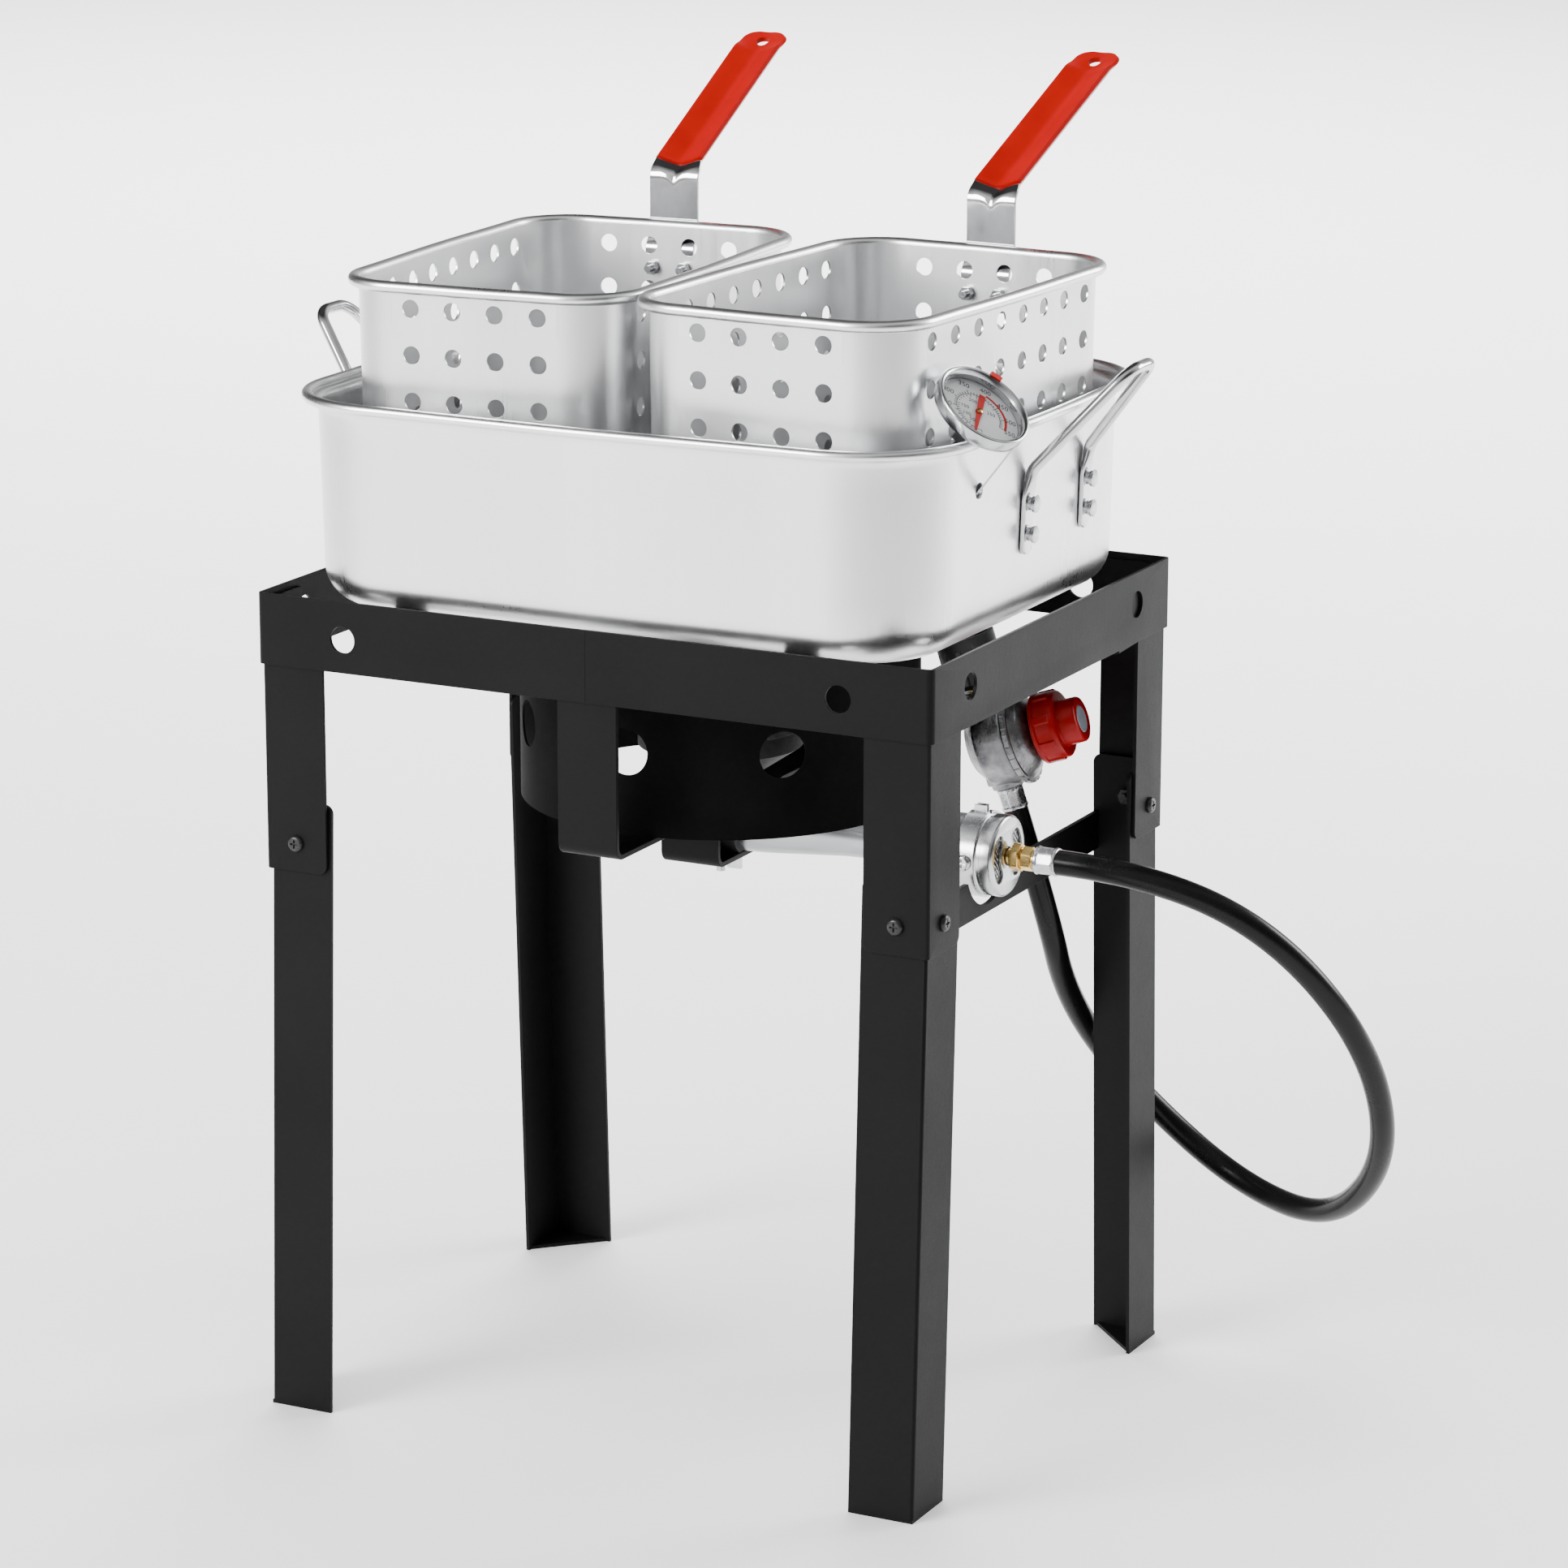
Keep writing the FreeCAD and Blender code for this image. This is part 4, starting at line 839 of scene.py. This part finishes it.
def basket_shell(side):
    bm = bmesh.new()
    low = ROW_Z - ROW_H * (N_ROWS - 0.5)
    edge_r = 9.0
    for q in range(4):
        cells, half = SIDE_CELLS[q % 2], FLATS[q % 2]

        def at(u, v, q=q):
            return wall_point(q, u, v)
        for row in range(N_ROWS):
            cz = ROW_Z - ROW_H * row
            top = cz + ROW_H / 2 if row else B_LIP
            for c in range(cells):
                cu, u0, u1 = cell_span(q, c)
                cell(bm, at, cu, cz, u0, cz - ROW_H / 2, u1, top, HOLE_R)
        us = columns(q)
        grid(bm, at, us, [B_Z1, B_LIP])
        strip = [low - (low - B_Z0 - edge_r) * k / 4 for k in range(5)]
        grid(bm, at, us, strip)
        # the corner to the next side
        zs = [B_Z1, B_LIP]
        for row in range(N_ROWS):
            top = ROW_Z - ROW_H * row + ROW_H / 2 if row else B_LIP
            bottom = ROW_Z - ROW_H * row - ROW_H / 2
            zs += [top + (bottom - top) * k / 6 for k in range(1, 7)]
        zs += strip[1:]

        def corner(f, z, q=q, half=half):
            r = B_BOT[2] + (B_TOP[2] - B_BOT[2]) * (z - B_Z0) / (B_Z1 - B_Z0)
            return wall_point(q, half + r * pi / 2 * f, z)
        grid(bm, corner, [k / 10 for k in range(11)], zs)
        # rounded bottom edge, then the strip to the block of bottom holes

        def bend(col, a, q=q):
            d = -edge_r * (1 - cos(a))
            z = B_Z0 + edge_r * (1 - sin(a))
            base = corner(col[1], B_Z0 + edge_r) if col[0] else wall_point(q, col[1], B_Z0 + edge_r)
            return shrink(base, d, z)
        cols = [(0, u) for u in us] + [(1, k / 10) for k in range(1, 11)]
        rows = [[bm.verts.new(bend(c, a)) for c in cols] for a in [pi / 2 * k / 6 for k in range(7)]]
        rows.append([bm.verts.new(floor_border(q, c)) for c in cols])
        for a, b in zip(rows, rows[1:]):
            for j in range(len(cols) - 1):
                if (b[j].co - b[j + 1].co).length < 1e-6:
                    bm.faces.new((a[j], a[j + 1], b[j]))
                else:
                    bm.faces.new((a[j], a[j + 1], b[j + 1], b[j]))
    nx, ny = SIDE_CELLS[1], SIDE_CELLS[0]
    for i in range(nx):
        for j in range(ny):
            (cu, u0, u1), (cv, v0, v1) = cell_span(1, i), cell_span(0, j)
            cell(bm, lambda u, v: Vector((u, v, B_Z0)), cu, cv, u0, v0, u1, v1, HOLE_R)
    bmesh.ops.remove_doubles(bm, verts=bm.verts, dist=0.01)
    bmesh.ops.transform(bm, matrix=basket_m(side), verts=bm.verts)
    piece("basket_shell_" + side, bm, "pan_aluminium", "basket_" + side[0], ["basket_" + side], angle=40,
          modifiers=(("SOLIDIFY", {"thickness": B_T * MM, "offset": -1.0, "use_even_offset": True}),
                     ("BEVEL", {"width": 0.22 * MM, "segments": 2, "angle_limit": radians(50),
                                "harden_normals": True})))


def shrink(p, d, z):
    """Moves a point of the wall's loop inwards by -d, towards the core of the rounded rectangle."""
    hx, hy, r = B_BOT
    core = Vector((max(-(hx - r), min(hx - r, p.x)), max(-(hy - r), min(hy - r, p.y))))
    out = Vector((p.x, p.y)) - core
    q = core + out * ((out.length + d) / out.length)
    return Vector((q.x, q.y, z))


def floor_border(q, col):
    """Border of the block of bottom holes that faces a column of the wall."""
    half, reach = FLATS[q % 2], FLATS[(q + 1) % 2]
    u = half if col[0] else max(-half, min(half, col[1]))
    p = Vector((reach, u)) @ Matrix.Rotation(-pi / 2 * q, 2)
    return Vector((p.x, p.y, B_Z0))


def basket_rim(side):
    bm = bmesh.new()
    base = [Vector(p) for p in rounded(*RIM, B_Z1, B_BOW, (40, 56, 20))]
    n = len(base)
    loops = []
    for k in range(n):
        t = (base[(k + 1) % n] - base[k - 1]).normalized()
        out = t.cross(Z)
        loops.append([base[k] + out * (BEAD * cos(a)) + Z * (BEAD * sin(a))
                      for a in [2 * pi * j / 20 for j in range(20)]])
    skin(bm, loops, basket_m(side), closed=True)
    piece("basket_rim_" + side, bm, "pan_aluminium", "basket_" + side[0], angle=60)


WALL_Y = B_TOP[1] - 0.35
YB, YO = WALL_Y + 1.1, RIM[1] + BEAD + 1.3
ARM_A, ARM_L = radians(25.0), 128.0
AD, AN = Vector((0, cos(ARM_A), sin(ARM_A))), Vector((0, -sin(ARM_A), cos(ARM_A)))
ARM_O = Vector((0, YO, 664.0))
VEE = 5.0                              # depth of the V channel of the handle
FLAT_FROM = 129.5                      # distance along the arm where the grip turns thin and flat


def smooth(t):
    t = max(0.0, min(1.0, t))
    return t * t * (3 - 2 * t)


def vee(x, half, depth):
    return depth * (sqrt((x / half) ** 2 + 0.012) - 0.5)


def strap_handle(side):
    """Flat strap bolted to the back wall, bent out over the rim and pressed into a V along the arm."""
    pts = [Vector((0, YB, 599)), Vector((0, YB, 621)), Vector((0, YO, 629)), ARM_O.copy(), ARM_O + AD * ARM_L]
    path = bent(pts, [5.0, 5.0, 7.0], 8, 1.5)
    bm, s, loops = bmesh.new(), 0.0, []
    s_bend = 22.0 + 10.5 + 35.0        # length of the strap up to the bend into the arm
    for k, p in enumerate(path):
        if k:
            s += (p - path[k - 1]).length
        t = (path[min(k + 1, len(path) - 1)] - path[max(k - 1, 0)]).normalized()
        n = X.cross(t)
        half = 15.0 - 1.0 * smooth((s - s_bend) / 8) - 3.0 * smooth((s - s_bend - 9) / 5)
        if s < 3.0:
            half -= 3.0 - sqrt(max(0.0, 9.0 - (3.0 - s) ** 2))
        xs = [-1 + 2 * j / 24 for j in range(25)]
        starts = [s_bend - 9.0 + 9.0 * abs(x) ** 0.8 for x in xs]
        deep = [vee(x * half, half, VEE) * smooth((s - start) / 9.0) for x, start in zip(xs, starts)]
        top = [p + X * (x * half) + n * (h + 1.0) for x, h in zip(xs, deep)]
        low = [p + X * (x * half) + n * (h - 1.0) for x, h in zip(xs, deep)]
        loops.append(top + list(reversed(low)))
    skin(bm, loops, basket_m(side))
    piece("handle_strap_" + side, bm, "chrome_rod", "basket_" + side[0], ["basket_handle_" + side], angle=38,
          modifiers=(("BEVEL", {"width": 0.3 * MM, "segments": 2, "angle_limit": radians(60)}),))


def grip(side):
    """Red vinyl sleeve over the V-shaped arm, with a rounded end and a hanging hole."""
    s0, s1, half, skin_t = 8.0, 150.0, 14.5, 2.5
    stations = [8.0, 8.25, 8.8, 9.8] + [12 + 3.0 * k for k in range(43)] + [140, 142, 143.5, 145, 146.3,
                                                                           147.4, 148.3, 149.0, 149.5, 149.8,
                                                                           150.0]
    bm, loops = bmesh.new(), []
    for s in stations:
        e0, e1 = s - s0, s1 - s
        w, t = half, skin_t
        if e0 < 1.0:
            t -= 0.9 * (1 - sqrt(max(0.0, 1 - (1 - e0) ** 2)))
            w -= 0.9 * (1 - sqrt(max(0.0, 1 - (1 - e0) ** 2)))
        if e1 < 10.0:
            w -= 10.0 - sqrt(max(0.0, 100.0 - (10.0 - e1) ** 2))
        if e1 < 2.2:
            t = 0.35 + (t - 0.35) * sqrt(max(0.0, 1 - (1 - e1 / 2.2) ** 2))
        t -= (t - 1.5) * smooth((s - FLAT_FROM) / 5)
        p = ARM_O + AD * s
        flat = 1 - 0.75 * smooth((s - FLAT_FROM + 0.5) / 12)
        xs = [-1 + 2 * j / 20 for j in range(21)]
        top, low = [], []
        for x in xs:
            round_t = t * sqrt(max(0.0, 1 - max(0.0, (abs(x) * w - (w - t)) / t) ** 2))
            h = vee(x * w, half, VEE + 0.6) * flat
            top.append(p + X * (x * w) + AN * (h + round_t))
            low.append(p + X * (x * w) + AN * (h - round_t))
        loops.append(top + list(reversed(low[1:-1])))
    skin(bm, loops)
    cutter = bmesh.new()
    c = ARM_O + AD * 140.0
    lathe(cutter, [(-12, 4.0), (12, 4.0)], place(c, X, AD, AN), 32)
    for b in (bm, cutter):
        bmesh.ops.remove_doubles(b, verts=b.verts, dist=MERGE)
        bmesh.ops.recalc_face_normals(b, faces=b.faces)
    bm = cut(bm, cutter)
    bmesh.ops.transform(bm, matrix=basket_m(side), verts=bm.verts)
    piece("grip_sleeve_" + side, bm, "grip_red", "basket_" + side[0], ["basket_grip_" + side], angle=35,
          modifiers=(("BEVEL", {"width": 0.7 * MM, "segments": 3, "angle_limit": radians(55)}),))


for which in BASKETS:
    basket_shell(which)
    basket_rim(which)
    strap_handle(which)
    grip(which)

# ------------------------ thermometer
TC = Vector((198.0, -84.0, 590.0))
TN = Vector((0.634, -0.163, 0.752)).normalized()
TD = Vector((0.767, 0.214, -0.600))
TD = (TD - TN * TD.dot(TN)).normalized()
THERMO = place(TC, TD, TN.cross(TD), TN)
UPRIGHT = 25.0                         # turn of the dial's figures in its plane, degrees


def dial_point(angle, r, z):
    """Point of the dial at an angle counted from local +Y towards -X."""
    a = radians(angle)
    return Vector((-r * sin(a), r * cos(a), z))


def thermometer_case():
    bm = bmesh.new()
    outer = [(-9.0, 5.2), (-9.0, 23.5), (-8.7, 25.2), (-7.6, 26.4), (-5.8, 26.9), (-1.6, 27.0), (-0.7, 26.9),
             (-0.15, 26.4), (0.0, 25.6), (-0.2, 24.9), (-0.9, 24.2), (-1.9, 23.5), (-2.7, 23.1)]
    inner = [(-3.0, 23.95), (-7.5, 23.95), (-7.5, 5.2)]
    lathe(bm, outer + inner, THERMO, 112, closed=True)
    piece("thermometer_bezel", bm, "case_steel", "pan", ["thermometer_case"], angle=42)
    bm = bmesh.new()
    lathe(bm, [(-3.8, 0), (-3.8, 23.8), (-3.05, 23.8), (-2.7, 14), (-2.55, 0)], THERMO, 96)
    piece("thermometer_window", bm, "lens", "pan", ["thermometer_glass"], angle=40)
    bm = bmesh.new()
    lathe(bm, [(-7.5, 1.3), (-7.5, 23.8), (-6.95, 23.8), (-6.9, 23.0), (-6.9, 1.3)], THERMO, 96, closed=True)
    piece("dial_plate", bm, "dial_face", "pan", ["thermometer_dial"], angle=40)


DIAL_Z = -6.89
TICK_R, TICK_SHORT, TICK_LONG = 13.2, 14.6, 15.6     # radii of the outer scale's ticks
SCALE_F = {250: 122.0, 300: 92.0, 350: 51.0, 400: 12.0, 450: -24.0, 500: -55.0, 550: -83.0}
SCALE_C = {50: 178.0, 100: 147.0, 150: 109.0, 200: 48.0, 250: -43.0}


def wedge(bm, a0, a1, r0, r1, z, t=0.06):
    steps = max(1, int(abs(a1 - a0) / 3))
    loops = []
    for k in range(steps + 1):
        a = a0 + (a1 - a0) * k / steps
        loops.append([dial_point(a, r0, z), dial_point(a, r1, z), dial_point(a, r1, z + t),
                     dial_point(a, r0, z + t)])
    skin(bm, loops, THERMO)


def dial_marks():
    bm = bmesh.new()
    marks = sorted(SCALE_F.items())
    for (_, a0), (_, a1) in zip(marks, marks[1:]):
        for k in range(5):
            a = a0 + (a1 - a0) * k / 5
            wedge(bm, a - 0.9, a + 0.9, TICK_R, TICK_LONG if k == 0 else TICK_SHORT, DIAL_Z)
    for k in range(8):
        a = 122.0 + 13.0 * k
        wedge(bm, a - 0.9, a + 0.9, TICK_R, TICK_LONG if k % 4 == 0 else TICK_SHORT, DIAL_Z)
    wedge(bm, -83.9, -82.1, TICK_R, TICK_LONG, DIAL_Z)
    wedge(bm, -84, 214, 12.9, TICK_R, DIAL_Z)
    for (_, a0), (_, a1) in zip(sorted(SCALE_C.items()), sorted(SCALE_C.items())[1:]):
        for k in range(5):
            a = a0 + (a1 - a0) * k / 5
            wedge(bm, a - 1.1, a + 1.1, 11.4 if k else 10.9, 12.4, DIAL_Z)
    for scale, r, size in ((SCALE_F, 19.6, 4.6), (SCALE_C, 8.2, 3.5)):
        for value, angle in scale.items():
            figure(bm, str(value), dial_point(angle, r, DIAL_Z), size)
    piece("dial_figures", bm, "dial_face", "pan", angle=30, material=INK)
    bm = bmesh.new()
    wedge(bm, -83, 8, 15.8, 17.3, DIAL_Z)
    piece("dial_red_arc", bm, "needle_red", "pan", angle=30)


def figure(bm, text, at, size):
    cu = bpy.data.curves.new("figure", "FONT")
    cu.body, cu.size, cu.extrude, cu.resolution_u = text, size, 0.03, 3
    cu.align_x = cu.align_y = "CENTER"
    o = new_object("figure", cu)
    me = as_mesh(o)
    bpy.data.objects.remove(o)
    part = bmesh.new()
    part.from_mesh(me)
    m = THERMO @ Matrix.Translation(at + Z * 0.03) @ Matrix.Rotation(radians(UPRIGHT), 4, "Z")
    bmesh.ops.transform(part, matrix=m, verts=part.verts)
    tmp = bpy.data.meshes.new("tmp")
    part.to_mesh(tmp)
    part.free()
    bm.from_mesh(tmp)
    bpy.data.meshes.remove(tmp)


def needle_hub():
    bm = bmesh.new()
    lathe(bm, [(-5.7, 0), (-5.7, 1.8), (-5.2, 1.8), (-4.8, 1.3), (-4.7, 0)], THERMO, 32)
    piece("needle_hub", bm, "brass", "needle", angle=40)


thermometer_case()
dial_marks()
needle_hub()


# ------------------------ floor, light
def stage_floor():
    me = bpy.data.meshes.new("floor")
    s = 40.0
    me.from_pydata([(-s, -s, 0), (s, -s, 0), (s, s, 0), (-s, s, 0)], [], [(0, 1, 2, 3)])
    m = bpy.data.materials.new("floor")
    m.use_nodes = True
    b = m.node_tree.nodes["Principled BSDF"]
    b.inputs["Base Color"].default_value = (0.93, 0.93, 0.93, 1)
    b.inputs["Roughness"].default_value = 0.9
    me.materials.append(m)
    o = new_object("floor", me)


def area(name, at, aim, size, power, glossy=True):
    li = bpy.data.lights.new(name, "AREA")
    li.shape, li.size, li.size_y, li.energy = "RECTANGLE", size[0], size[1], power
    o = bpy.data.objects.new(name, li)
    o.location = at
    o.visible_glossy = glossy
    o.rotation_euler = (Vector(aim) - Vector(at)).to_track_quat("-Z", "Y").to_euler()
    bpy.context.scene.collection.objects.link(o)


# direction, its dot product where a dark zone starts and where it is full, and the brightness there
DARK_ZONES = (((0.88, -0.47, 0.0), 0.35, 0.9, 0.05), ((-0.40, 0.35, 0.85), 0.45, 0.85, 0.06),
              ((-0.9, 0.2, 0.1), 0.75, 0.95, 0.2))
SKY = (4.5, 4.5, 4.5, 1.0)


def world_light():
    """Even pale surroundings with three dark zones, as beside studio flats; plain white to the camera."""
    w = bpy.data.worlds.new("studio")
    w.use_nodes = True
    nt = w.node_tree
    bg = nt.nodes["Background"]
    tc = add(nt, "ShaderNodeTexCoord")
    shade = None
    for direction, lo, hi, low in DARK_ZONES:
        dot = combine(nt, "ShaderNodeVectorMath", "DOT_PRODUCT", tc.outputs["Generated"],
                      Vector(direction).normalized(), "Value")
        tone = ramp(nt, dot, 1.0, low, lo, hi)
        shade = tone if shade is None else combine(nt, "ShaderNodeVectorMath", "MULTIPLY", shade, tone)
    path = add(nt, "ShaderNodeLightPath")
    pick = nt.nodes.new("ShaderNodeMix")
    pick.data_type = "RGBA"
    nt.links.new(path.outputs["Is Camera Ray"], pick.inputs["Factor"])
    nt.links.new(shade, pick.inputs["A"])
    pick.inputs["B"].default_value = SKY
    nt.links.new(pick.outputs["Result"], bg.inputs["Color"])
    bg.inputs["Strength"].default_value = 1.0
    bpy.context.scene.world = w


stage_floor()
world_light()
area("front_left", (-1.7, -2.9, 1.9), (0, 0, 0.4), (1.8, 1.8), 185)
area("right_rear", (2.1, 2.7, 1.5), (0, 0, 0.4), (1.6, 1.6), 105)
area("backdrop", (-2.2, 4.2, 3.6), (-2.2, 4.6, 0), (5.0, 4.0), 900, False)
area("overhead", (0.0, -0.2, 3.6), (0, 0, 0.0), (3.0, 3.0), 120, False)
